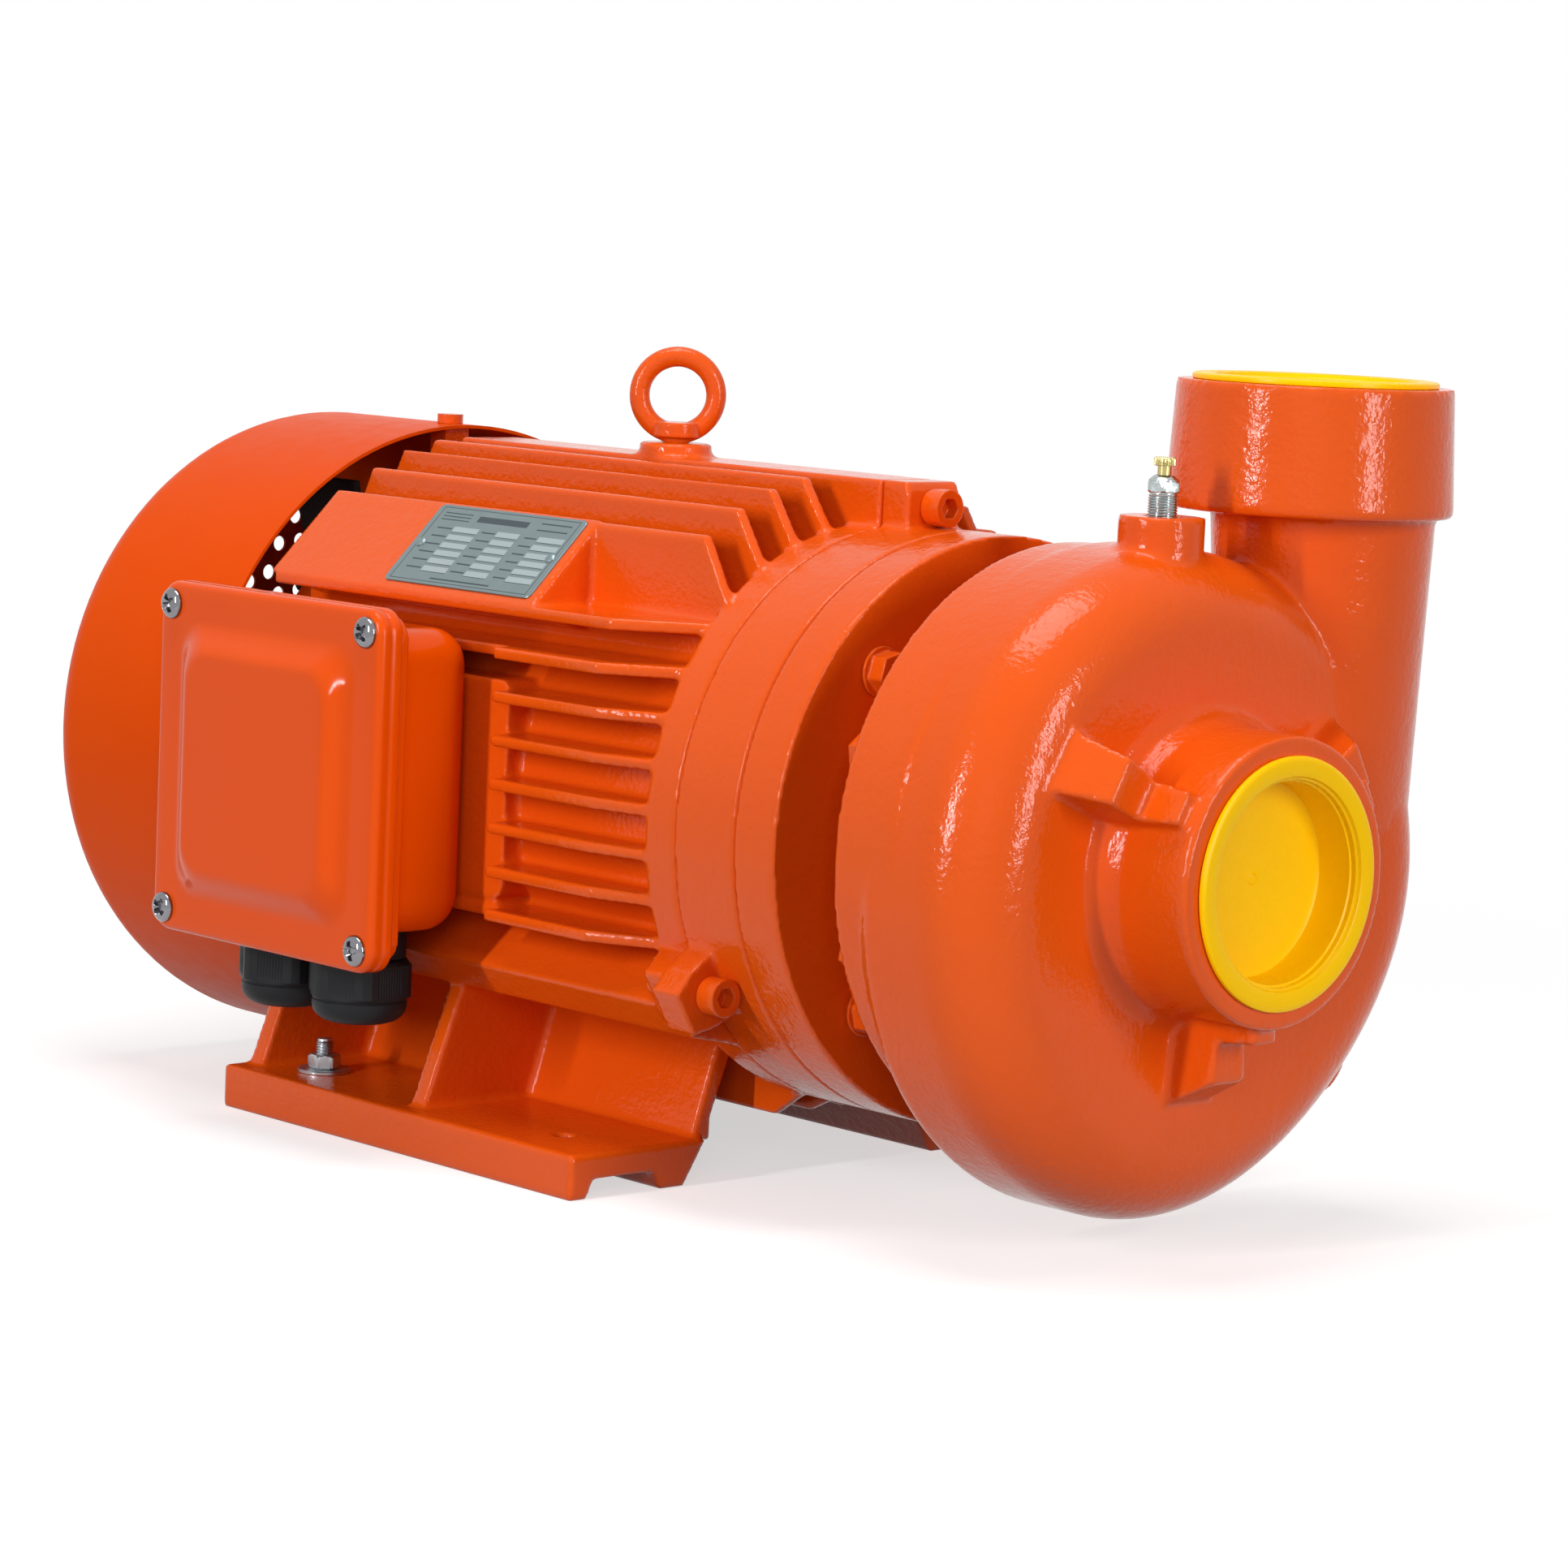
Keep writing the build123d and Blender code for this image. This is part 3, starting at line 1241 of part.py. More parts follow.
spring_length = impeller_back - seal_face_x - 7
with BuildPart() as seal_spring:
    with BuildLine() as spring_line:
        Helix(
            pitch=(spring_length - 2 * spring_wire_r) / 2, height=spring_length - 2 * spring_wire_r,
            radius=seal_head_r - 1, center=(seal_face_x + 7 + spring_wire_r, 0, shaft_height),
            direction=(1, 0, 0),
        )
    with BuildSketch(spring_line.line ^ 0):
        Circle(spring_wire_r)
    sweep()
write(seal_spring, "seal_spring")

with BuildPart() as slinger:
    with BuildSketch(across(flange_front - 12)):
        Circle(pump_shaft_r + 5)
        Circle(pump_shaft_r, mode=Mode.SUBTRACT)
    extrude(amount=8)
    with BuildSketch(across(flange_front - 9)):
        Circle(slinger_r)
        Circle(pump_shaft_r + 4, mode=Mode.SUBTRACT)
    extrude(amount=2.5)
write(slinger, "slinger")

# Closed impeller: the vanes are trimmed to the passage between the shrouds
vane_line = ThreePointArc(
    (eye_r - 1, 0), around(64, -26), around(91, -68),
)
with BuildPart() as vanes:
    with BuildSketch(across(impeller_back + 3)):
        with PolarLocations(0, vane_count):
            SlotArc(vane_line, vane_t)
    extrude(amount=40)
    with BuildSketch(side_view):
        with BuildLine():
            Polyline(
                (impeller_back + 3, impeller_r - 0.5), (impeller_back + 24, impeller_r - 0.5),
                (impeller_back + 28, 69), (impeller_back + 32, 48), (impeller_back + 35, 38),
                (impeller_back + 10, 33), (impeller_back + 4, 58), close=True,
            )
        make_face()
    revolve(axis=shaft_line, mode=Mode.INTERSECT)

outlet_front = impeller_back + shroud_t + outlet_width
with BuildPart() as impeller:
    with BuildSketch(side_view):
        with BuildLine():
            Polyline(
                (impeller_back, impeller_seat_r), (impeller_back, impeller_r),
                (impeller_back + shroud_t, impeller_r), (impeller_back + shroud_t + 1, 60),
                (impeller_back + shroud_t + 8, 34), (nut_face - 6, impeller_hub_r - 4),
                (nut_face - 2, impeller_hub_r - 6), (nut_face - 2, impeller_seat_r), close=True,
            )
        make_face()
        with BuildLine():
            Polyline(
                (outlet_front, impeller_r), (outlet_front + shroud_t, impeller_r), (outlet_front + 8, 70),
                (outlet_front + 12, 50), (outlet_front + 14, wear_ring_outer - wear_ring_wall),
                (eye_front, wear_ring_outer - wear_ring_wall), (eye_front, eye_r), (outlet_front + 14, eye_r),
                (outlet_front + 8, 46), (outlet_front + 3, 68), close=True,
            )
        make_face()
    revolve(axis=shaft_line)
    add(vanes.part)
    with BuildSketch(across(impeller_back)):
        with Locations((0, impeller_seat_r - 1)):
            Rectangle(key_width, 8)
    extrude(amount=nut_face - impeller_back, mode=Mode.SUBTRACT)
write(impeller, "impeller")
print("impeller solids", len(impeller.part.solids()))

with BuildPart() as impeller_key:
    with BuildSketch(Plane.XY.offset(shaft_height + impeller_seat_r - 3)):
        with Locations((impeller_back + 12, 0)):
            Rectangle(18, key_width)
    extrude(amount=5.5)
write(impeller_key, "impeller_key")

with BuildPart() as impeller_washer:
    with BuildSketch(across(nut_face - 2)):
        Circle(impeller_hub_r - 6)
        Circle(thread_r + seat_gap, mode=Mode.SUBTRACT)
    extrude(amount=2)
write(impeller_washer, "impeller_washer")

with BuildPart() as impeller_nut:
    with BuildSketch(across(nut_face)):
        RegularPolygon(nut_flats / 2, 6, major_radius=False)
        Circle(thread_r, mode=Mode.SUBTRACT)
    extrude(amount=12)
write(impeller_nut, "impeller_nut")

# Bleed valve: body in the boss, needle in the body, knurled knob on the needle
hex_top = bleed_thread_top + bleed_hex_t
needle_seat_z = boss_top_z - 4
with BuildPart() as bleed_body:
    with Locations((bleed_x, bleed_y, boss_top_z - 12)):
        Cylinder(
            bleed_thread_r - 0.1, bleed_thread_top - boss_top_z + 12, align=(Align.CENTER, Align.CENTER, Align.MIN)
        )
    with BuildSketch(Plane.XY.offset(bleed_thread_top)):
        with Locations((bleed_x, bleed_y)):
            RegularPolygon(bleed_flats / 2, 6, major_radius=False)
    extrude(amount=bleed_hex_t)
    with Locations((bleed_x, bleed_y, hex_top)):
        Cone(5.4, 4, bleed_cone_t, align=(Align.CENTER, Align.CENTER, Align.MIN))
    with Locations((bleed_x, bleed_y, hex_top + bleed_cone_t)):
        Hole(bleed_neck_r + running_gap, depth=hex_top + bleed_cone_t - needle_seat_z)
        Hole(1.2, depth=60)
write(bleed_body, "bleed_body")

with BuildPart() as bleed_needle:
    with Locations((bleed_x, bleed_y, needle_seat_z)):
        Cylinder(
            bleed_neck_r, hex_top + bleed_knob_lift - needle_seat_z, align=(Align.CENTER, Align.CENTER, Align.MIN)
        )
write(bleed_needle, "bleed_needle")

with BuildPart() as bleed_knob:
    with BuildSketch(Plane.XY.offset(hex_top + bleed_knob_lift)):
        with Locations((bleed_x, bleed_y)):
            Circle(bleed_knob_r)
            with PolarLocations(bleed_knob_r, 24):
                Circle(0.35, mode=Mode.SUBTRACT)
    extrude(amount=bleed_knob_t)
write(bleed_knob, "bleed_knob")


# A transit plug along the local Z of its plane: a cup with stepped mouth and an outer flange
def transit_plug(name, plane):
    with BuildPart() as plug:
        with BuildSketch(plane):
            Circle(plug_flange_r)
        extrude(amount=plug_flange_t)
        with BuildSketch(plane):
            Circle(port_bore_r - plug_clearance)
        extrude(amount=plug_floor - plug_depth)
        with BuildSketch(plane.offset(plug_flange_t)):
            Circle(port_bore_r - plug_clearance - plug_wall)
        extrude(amount=-plug_depth - plug_flange_t + 2 * plug_floor, mode=Mode.SUBTRACT)
        for step in (1, 2):
            with BuildSketch(plane.offset(plug_flange_t)):
                Circle(port_bore_r - plug_clearance - plug_wall + 0.7 * step)
            extrude(amount=-plug_flange_t - 5 + 3 * step, mode=Mode.SUBTRACT)
        with BuildSketch(plane.offset(plug_floor - plug_depth + plug_floor)):
            Circle(2.6)
        extrude(amount=0.8)
    write(plug, name)


transit_plug("suction_plug", across(nozzle_face))
transit_plug("discharge_plug", Plane(origin=(discharge_x, discharge_y, collar_top_z), z_dir=(0, 0, 1)))
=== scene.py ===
import math

import bmesh
import bpy
from mathutils import Matrix, Vector


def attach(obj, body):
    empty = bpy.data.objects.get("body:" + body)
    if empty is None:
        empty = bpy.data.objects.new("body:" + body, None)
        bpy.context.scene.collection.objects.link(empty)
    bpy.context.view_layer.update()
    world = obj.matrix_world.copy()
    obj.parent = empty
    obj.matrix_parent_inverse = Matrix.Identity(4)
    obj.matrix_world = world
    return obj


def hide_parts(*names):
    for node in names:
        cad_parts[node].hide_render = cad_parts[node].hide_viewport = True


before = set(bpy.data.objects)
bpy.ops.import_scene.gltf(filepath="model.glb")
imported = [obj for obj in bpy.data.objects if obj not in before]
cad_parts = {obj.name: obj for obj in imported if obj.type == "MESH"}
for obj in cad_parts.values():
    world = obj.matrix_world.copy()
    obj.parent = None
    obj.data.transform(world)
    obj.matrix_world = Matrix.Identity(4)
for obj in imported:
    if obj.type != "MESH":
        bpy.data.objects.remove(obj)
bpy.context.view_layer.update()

mm = 0.001
shaftHeight = 160  # mm, from the foot faces to the shaft's axis
print("frame loaded,", len(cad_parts), "nodes")

# Small helpers


def toLinear(hexColour):
    parts = [int(hexColour[i:i + 2], 16) / 255 for i in (1, 3, 5)]
    return [c / 12.92 if c <= 0.04045 else ((c + 0.055) / 1.055) ** 2.4 for c in parts] + [1]


def perMm(size):
    return 1000 / size  # noise scale for features of this many millimetres


def addNode(tree, kind, settings=None, links=None):
    node = tree.nodes.new(kind)
    for key, value in (settings or {}).items():
        if isinstance(key, int) or key in node.inputs:
            node.inputs[key].default_value = value
        else:
            setattr(node, key, value)
    for key, source in (links or {}).items():
        tree.links.new(source, node.inputs[key])
    return node


def newMaterial(name, finish):
    material = bpy.data.materials.new(name)
    material.use_nodes = True
    tree = material.node_tree
    shader = tree.nodes["Principled BSDF"]
    for key, value in finish.items():
        shader.inputs[key].default_value = value
    place = addNode(tree, "ShaderNodeTexCoord").outputs["Object"]
    return material, tree, shader, place


def meshPiece(name, mesh, body, slot, material, nodes=()):
    piece = bpy.data.objects.new(name, mesh)
    bpy.context.scene.collection.objects.link(piece)
    piece.data.materials.clear()
    piece.data.materials.append(material)
    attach(piece, body)
    if nodes:
        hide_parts(*nodes)
    return piece


def applyModifiers(piece):
    graph = bpy.context.evaluated_depsgraph_get()
    mesh = bpy.data.meshes.new_from_object(piece.evaluated_get(graph))
    piece.modifiers.clear()
    piece.data = mesh


def smoothByAngle(mesh, angle):
    for face in mesh.polygons:
        face.use_smooth = True
    mesh.set_sharp_from_angle(angle=math.radians(angle))


def fromBmesh(name, shape, angle=35):
    bmesh.ops.recalc_face_normals(shape, faces=shape.faces)
    mesh = bpy.data.meshes.new(name)
    shape.to_mesh(mesh)
    shape.free()
    smoothByAngle(mesh, angle)
    return mesh


def joinRings(shape, low, high):
    count = max(len(low), len(high))
    for i in range(count):
        j = (i + 1) % count
        corners = [low[i % len(low)], low[j % len(low)], high[j % len(high)], high[i % len(high)]]
        unique = []
        for corner in corners:
            if corner not in unique:
                unique.append(corner)
        if len(unique) > 2:
            shape.faces.new(unique)


# Materials


def mottle(tree, shader, place, size, detail, base, deep):
    # The colour drifts between two close ones over patches of this many mm, as no real finish is even
    patch = addNode(tree, "ShaderNodeTexNoise", {"Scale": perMm(size), "Detail": detail}, {"Vector": place})
    tint = addNode(tree, "ShaderNodeMix", {"data_type": "RGBA"}, {"Factor": patch.outputs["Fac"]})
    tint.inputs[6].default_value = toLinear(base)
    tint.inputs[7].default_value = toLinear(deep)
    tree.links.new(tint.outputs[2], shader.inputs["Base Color"])


def varyGloss(tree, shader, place, size, detail, smooth, rough):
    # A grain of this many mm swings the gloss between two roughnesses, and is handed on for the bumps
    grain = addNode(tree, "ShaderNodeTexNoise", {"Scale": perMm(size), "Detail": detail}, {"Vector": place})
    swing = {"From Min": 0.3, "From Max": 0.7, "To Min": smooth, "To Max": rough}
    change = addNode(tree, "ShaderNodeMapRange", swing, {"Value": grain.outputs["Fac"]})
    tree.links.new(change.outputs["Result"], shader.inputs["Roughness"])
    return grain.outputs["Fac"]


# Machinery enamel sprayed on grey cast iron: glossy, with orange peel over the sand-cast skin
castSettings = {
    "base": "#E2580E", "dull": "#DC4F09", "peel": 2.4, "skin": 7, "grain": 9, "patch": 60, "shine": 0.2,
    "peelDepth": 0.00026, "skinDepth": 0.0003, "edge": 0.0008, "smooth": 0.1, "rough": 0.18, "coat": 0.0,
}


def makeEnamel(name, given):
    material, tree, shader, place = newMaterial(name, {
        "IOR": 1.5, "Specular IOR Level": given["shine"],
        "Coat Weight": given["coat"], "Coat Roughness": 0.1, "Coat IOR": 1.5,
    })
    mottle(tree, shader, place, given["patch"], 4.0, given["base"], given["dull"])
    varyGloss(tree, shader, place, given["grain"], 5.0, given["smooth"], given["rough"])
    skin = addNode(tree, "ShaderNodeTexNoise", {"Scale": perMm(given["skin"]), "Detail": 3.0}, {
        "Vector": place,
    })
    peel = addNode(tree, "ShaderNodeTexNoise", {"Scale": perMm(given["peel"]), "Detail": 2.0}, {
        "Vector": place,
    })
    corner = addNode(tree, "ShaderNodeBevel", {"samples": 4, "Radius": given["edge"]})
    bumpSkin = addNode(tree, "ShaderNodeBump", {"Distance": given["skinDepth"]}, {
        "Height": skin.outputs["Fac"], "Normal": corner.outputs["Normal"],
    })
    bumpPeel = addNode(tree, "ShaderNodeBump", {"Distance": given["peelDepth"]}, {
        "Height": peel.outputs["Fac"], "Normal": bumpSkin.outputs["Normal"],
    })
    tree.links.new(bumpPeel.outputs["Normal"], shader.inputs["Normal"])
    return material


castEnamel = makeEnamel("castIronEnamel", castSettings)

# The same enamel on drawn sheet steel: no sand skin, only a fine peel
sheetSettings = {
    "base": "#E24E02", "dull": "#DB4801", "peel": 1.6, "skin": 25, "grain": 9, "patch": 90, "shine": 0.04,
    "peelDepth": 0.00003, "skinDepth": 0.00012, "edge": 0.0006, "smooth": 0.34, "rough": 0.42, "coat": 0.0,
}
sheetEnamel = makeEnamel("sheetSteelEnamel", sheetSettings)

# Powder coat on the die-cast terminal box: smooth and glossy, with a faint mottle
boxSettings = {
    "base": "#E55102", "dull": "#DF4B00", "peel": 1.3, "skin": 14, "grain": 9, "patch": 70, "shine": 0.12,
    "peelDepth": 0.000012, "skinDepth": 0.00005, "edge": 0.0012, "smooth": 0.1, "rough": 0.15, "coat": 0.04,
}
boxCoat = makeEnamel("powderCoat", boxSettings)


# Moulded goods: satin, with faint flow marks
def makeMoulded(name, base, deep, smooth, rough, grainSize, depth, subsurface):
    material, tree, shader, place = newMaterial(name, {
        "IOR": 1.5, "Specular IOR Level": 0.12, "Subsurface Weight": subsurface, "Subsurface Scale": 0.004,
    })
    mottle(tree, shader, place, 30, 3.0, base, deep)
    grain = varyGloss(tree, shader, place, grainSize, 3.0, smooth, rough)
    bump = addNode(tree, "ShaderNodeBump", {"Distance": depth}, {"Height": grain})
    tree.links.new(bump.outputs["Normal"], shader.inputs["Normal"])
    return material


# Polyethylene is waxy and a little translucent. Nylon, polypropylene and rubber are black and dull, the board
# is brown paper pressed in resin, and the ceramic is lapped to a pale gloss
plugPlastic = makeMoulded("mouldedPolyethylene", "#FFCB00", "#FFC400", 0.24, 0.34, 2.5, 0.00002, 0.05)
glandNylon = makeMoulded("mouldedNylon", "#242527", "#1F2022", 0.42, 0.55, 0.9, 0.00004, 0.0)
fanPlastic = makeMoulded("mouldedPolypropylene", "#232426", "#1D1E20", 0.45, 0.55, 2.0, 0.00003, 0.0)
sealRubber = makeMoulded("mouldedNitrileRubber", "#171717", "#1E1E1E", 0.6, 0.75, 0.8, 0.00003, 0.0)
boardLaminate = makeMoulded("phenolicLaminate", "#5A3A22", "#6B472B", 0.35, 0.5, 1.2, 0.00002, 0.0)
lappedCeramic = makeMoulded("lappedCeramic", "#D9D4C6", "#CFC9BA", 0.15, 0.22, 1.0, 0.000005, 0.0)


# Metals keep the default IOR; only colour, roughness and tool marks differ
def makeMetal(name, base, deep, smooth, rough, grainSize, depth, stretch=(1, 1, 1)):
    material, tree, shader, place = newMaterial(name, {"Metallic": 1.0})
    lay = addNode(tree, "ShaderNodeMapping", {"Scale": stretch}, {"Vector": place})
    mottle(tree, shader, place, 6, 4.0, base, deep)
    grain = varyGloss(tree, shader, lay.outputs["Vector"], grainSize, 3.0, smooth, rough)
    bump = addNode(tree, "ShaderNodeBump", {"Distance": depth}, {"Height": grain})
    tree.links.new(bump.outputs["Normal"], shader.inputs["Normal"])
    return material


zincSteel = makeMetal("zincPlatedSteel", "#BFC3C6", "#AEB3B7", 0.28, 0.42, 1.5, 0.00002)  # bright, cloudy
chromeSteel = makeMetal("chromePlatedSteel", "#8C8C90", "#7E7E82", 0.07, 0.12, 3, 0.000004)  # mirror bright
nickelBrass = makeMetal("nickelPlatedBrass", "#B9C0C0", "#A9B0B0", 0.14, 0.24, 2, 0.00001)  # soft silver
turnedBrass = makeMetal("turnedBrass", "#C9BC85", "#B8AA70", 0.16, 0.26, 1.2, 0.00001, (1, 1, 6))  # rings
castBronze = makeMetal("castBronze", "#B08A4E", "#9C7740", 0.35, 0.5, 3, 0.00008)  # sand-cast, skimmed
# Marks that run one way: the plate is brushed along X, shafts are ground round X, the core is a pack of
# 0.5 mm sheets across X, and the copper is varnished wire laid along X
plateAluminium = makeMetal("satinAluminium", "#869496", "#7C8B8D", 0.3, 0.42, 0.5, 0.000006, (0.04, 1, 1))
machinedSteel = makeMetal("machinedSteel", "#9A9B9D", "#8D8E91", 0.22, 0.34, 0.8, 0.000008, (6, 1, 1))
coreSteel = makeMetal("laminatedSteel", "#55565A", "#45464A", 0.4, 0.55, 0.5, 0.00004, (1, 0.02, 0.02))
boundCopper = makeMetal("enamelledCopper", "#8E4423", "#7A3519", 0.3, 0.45, 1.0, 0.0001, (0.1, 1, 1))
print("materials made")

# Carried-over nodes

finishes = {
    "castEnamel": (castEnamel, ["rear_end_shield", "drain_plug"]),
    "orangeFasteners": (castEnamel, ["casing_bolts", "cowl_screws"]),
    "rubber": (sealRubber, ["lip_seal", "slinger", "cover_gasket", "casing_gasket"]),
    "fan": (fanPlastic, ["cooling_fan", "gland_lock_nuts"]),
    "steel": (machinedSteel, [
        "motor_shaft", "drive_bearing_outer_ring", "drive_bearing_inner_ring", "drive_bearing_balls",
        "rear_bearing_outer_ring", "rear_bearing_inner_ring", "rear_bearing_balls", "preload_spring",
        "fan_circlip", "bearing_circlip", "seal_spring", "impeller_key", "impeller_washer", "impeller_nut",
        "seal_head",
    ]),
    "bronze": (castBronze, ["impeller", "wear_ring"]),
    "copper": (boundCopper, ["stator_winding"]),
    "core": (coreSteel, ["stator_core", "rotor_core"]),
    "board": (boardLaminate, ["terminal_board"]),
    "brass": (turnedBrass, ["terminal_studs", "bleed_needle"]),
    "ceramic": (lappedCeramic, ["seal_seat"]),
    "zinc": (zincSteel, ["rear_shield_screws", "box_screws"]),
}
for material, names in finishes.values():
    for name in names:
        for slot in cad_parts[name].material_slots:
            slot.material = material

# Castings with rounded corners


def blend(piece, spots):
    # Rubs more where two cast forms run into each other: a spot has its centre and reach in mm and its rounds
    for index, (centre, reach, rounds) in enumerate(spots):
        group = piece.vertex_groups.new(name=f"blend{index}")
        middle = Vector(centre) * mm
        for vertex in piece.data.vertices:
            near = 1 - (vertex.co - middle).length / (reach * mm)
            if near > 0:
                group.add([vertex.index], min(1, near * 2.5), "REPLACE")
        rub = piece.modifiers.new(f"blend{index}", "SMOOTH")
        rub.factor = 0.5
        rub.iterations = rounds
        rub.vertex_group = group.name
    applyModifiers(piece)


def casting(nodes, body, slot, material, grain, rounds, name, spots=()):
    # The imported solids, cast again in one: a fine skin over them, rubbed so that every corner gets a radius
    shape = bmesh.new()
    for node in nodes:
        shape.from_mesh(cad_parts[node].data)
    joined = bpy.data.meshes.new(name)
    shape.to_mesh(joined)
    shape.free()
    piece = bpy.data.objects.new(name, joined)
    bpy.context.scene.collection.objects.link(piece)
    remesh = piece.modifiers.new("skin", "REMESH")
    remesh.mode = "VOXEL"
    remesh.voxel_size = grain * mm
    rub = piece.modifiers.new("rub", "SMOOTH")
    rub.factor = 0.5
    rub.iterations = rounds
    applyModifiers(piece)
    if spots:
        blend(piece, spots)
    mesh = piece.data
    bpy.data.objects.remove(piece)
    for face in mesh.polygons:
        face.use_smooth = True
    print("cast", name, len(mesh.polygons), "faces")
    return meshPiece(name, mesh, body, slot, material, nodes)


voluteNodes = ["volute_casing", "suction_nozzle", "discharge_neck"]
castings = {
    # name: nodes, slot, material, grain in mm, rounds of rubbing
    "voluteCasting": (voluteNodes, "orange_cast", castEnamel, 1.5, 3),
    "frameCasting": (["motor_frame"], "orange_cast", castEnamel, 1.4, 3),
    "shieldCasting": (["drive_end_shield"], "orange_cast", castEnamel, 1.3, 3),
    "bracketCasting": (["pump_bracket"], "orange_cast", castEnamel, 1.3, 3),
    "boxBaseCasting": (["terminal_box_base"], "orange_box", boxCoat, 1.0, 4),
    "eyeBoltForging": (["eye_bolt"], "orange_fastener", castEnamel, 0.5, 5),
    "shieldScrewSet": (["shield_screws"], "orange_fastener", castEnamel, 0.4, 2),
    "bracketBoltSet": (["bracket_bolts"], "orange_fastener", castEnamel, 0.5, 2),
}
blends = {
    "voluteCasting": [((305, 2, 270), 24, 24)],  # foot of the bleed boss
}
for name, (nodes, slot, material, grain, rounds) in castings.items():
    casting(nodes, "pump", slot, material, grain, rounds, name, blends.get(name, ()))

# The eye bolt is left where its thread came tight, with its ring square to the near corner
eyeSettings = {"centre": (12.5, 0, 330), "turn": 47}
toAxis = Matrix.Translation(Vector(eyeSettings["centre"]) * mm)
turnRing = Matrix.Rotation(math.radians(eyeSettings["turn"]), 4, "Z")
bpy.data.objects["eyeBoltForging"].data.transform(toAxis @ turnRing @ toAxis.inverted())

# Turned and milled pieces


def spin(shape, origin, axis, levels, radiusAt, steps, start=(0, 0, 0)):
    # Skins a body about an axis: levels are distances along it in mm, radiusAt(angle, level, index) is in mm
    axis = Vector(axis).normalized()
    side = (Vector(start) if any(start) else axis.orthogonal()).normalized()
    other = axis.cross(side)
    rings = []
    for index, along in enumerate(levels):
        centre = (Vector(origin) + axis * along) * mm
        angles = [2 * math.pi * i / steps for i in range(steps)]
        radii = [radiusAt(a, along, index) for a in angles]
        if max(radii) < 1e-6:
            rings.append([shape.verts.new(centre)])
            continue
        rings.append([
            shape.verts.new(centre + (side * math.cos(a) + other * math.sin(a)) * r * mm)
            for a, r in zip(angles, radii)
        ])
    for low, high in zip(rings, rings[1:]):
        joinRings(shape, low, high)


def turned(shape, origin, axis, profile, steps=72):
    spin(shape, origin, axis, [p[0] for p in profile], lambda a, along, i: profile[i][1], steps)


def hexRadius(angle, flats, corner):
    wrapped = (angle + math.pi / 6) % (math.pi / 3) - math.pi / 6
    return min(flats / 2 / math.cos(wrapped), corner)


def hexNut(shape, origin, axis, flats, low, high, start):
    # Hexagon with both faces chamfered at 30 degrees, as on a real nut
    half = flats / 2
    outer = half / math.cos(math.pi / 6)
    drop = (outer - half) * math.tan(math.radians(30)) * 1.6
    levels = [low, low, low + drop * 0.5, low + drop, (low + high) / 2]
    levels += [high - drop, high - drop * 0.5, high, high]
    limits = [0, half * 0.97, half * 1.06, outer, outer, outer, half * 1.06, half * 0.97, 0]

    def radiusAt(angle, along, index):
        return min(hexRadius(angle, flats, outer * 0.985), limits[index])
    spin(shape, origin, axis, levels, radiusAt, 96, start)


def thread(shape, origin, axis, radius, pitch, low, high):
    # A real helix: the skin swings in and out with height and angle
    depth = pitch * 0.54
    tip = high + 0.5
    count = max(8, int((high - low) / pitch * 7))
    levels = [low, low] + [low + (high - low) * i / count for i in range(count + 1)] + [tip, tip]

    def radiusAt(angle, along, index):
        if index in (0, len(levels) - 1):
            return 0
        if index == len(levels) - 2:
            return radius - depth
        phase = (along / pitch - angle / (2 * math.pi)) % 1
        wave = 1 - abs(2 * phase - 1)
        fade = min(1, max(0, (high - along) / pitch))
        return radius - depth + depth * min(1, wave * 1.25) * fade
    spin(shape, origin, axis, levels, radiusAt, 64)


# Terminal box cover: flat rim, groove line round its side, wide soft slopes up to the raised field
coverSettings = {
    "x": -43.5, "z": 162.5, "width": 157, "height": 155, "corner": 11,
    "rise": 7, "riseStart": 16, "riseEnd": 31, "back": 167.8, "face": 180.2,
}


def roundedLoop(shape, given, inset, out, corner):
    points = []
    halfX, halfZ = given["width"] / 2 - inset, given["height"] / 2 - inset
    for sx, sz, begin in ((1, 1, 0), (-1, 1, 90), (-1, -1, 180), (1, -1, 270)):
        for i in range(13):
            a = math.radians(begin + i * 7.5)
            x = given["x"] + sx * (halfX - corner) + corner * math.cos(a)
            z = given["z"] + sz * (halfZ - corner) + corner * math.sin(a)
            points.append(shape.verts.new(Vector((x, -out, z)) * mm))
    return points


def makeCover(given):
    back, face = given["back"], given["face"]
    # Inset from the outline and distance from the shaft, from the seat round the rim to the foot of the rise
    path = [
        (9, back), (1.2, back), (0.4, back + 0.3), (0, back + 1), (0, back + 5.2), (0.4, back + 5.7),
        (0.4, back + 6.2), (0, back + 6.7), (0, face - 3.2), (0.25, face - 1.9), (0.9, face - 0.9),
        (2, face - 0.25), (3.4, face), (9, face), (given["riseStart"] - 1, face),
    ]
    span = given["riseEnd"] - given["riseStart"]
    for i in range(17):
        t = i / 16
        path.append((given["riseStart"] + span * t, face + given["rise"] * t * t * (3 - 2 * t)))
    path.append((given["riseEnd"] + 1, face + given["rise"]))
    shape = bmesh.new()
    loops = []
    for inset, out in path:
        corner = max(given["corner"] - inset, 2.5) if inset < 9 else 16 - (inset - 9) * 0.12
        loops.append(roundedLoop(shape, given, inset, out, corner))
    for low, high in zip(loops, loops[1:]):
        joinRings(shape, low, high)
    shape.faces.new(loops[0])
    shape.faces.new(loops[-1])
    return fromBmesh("boxCover", shape, 40)


meshPiece("boxCover", makeCover(coverSettings), "pump", "orange_box", boxCoat, ["terminal_box_cover"])

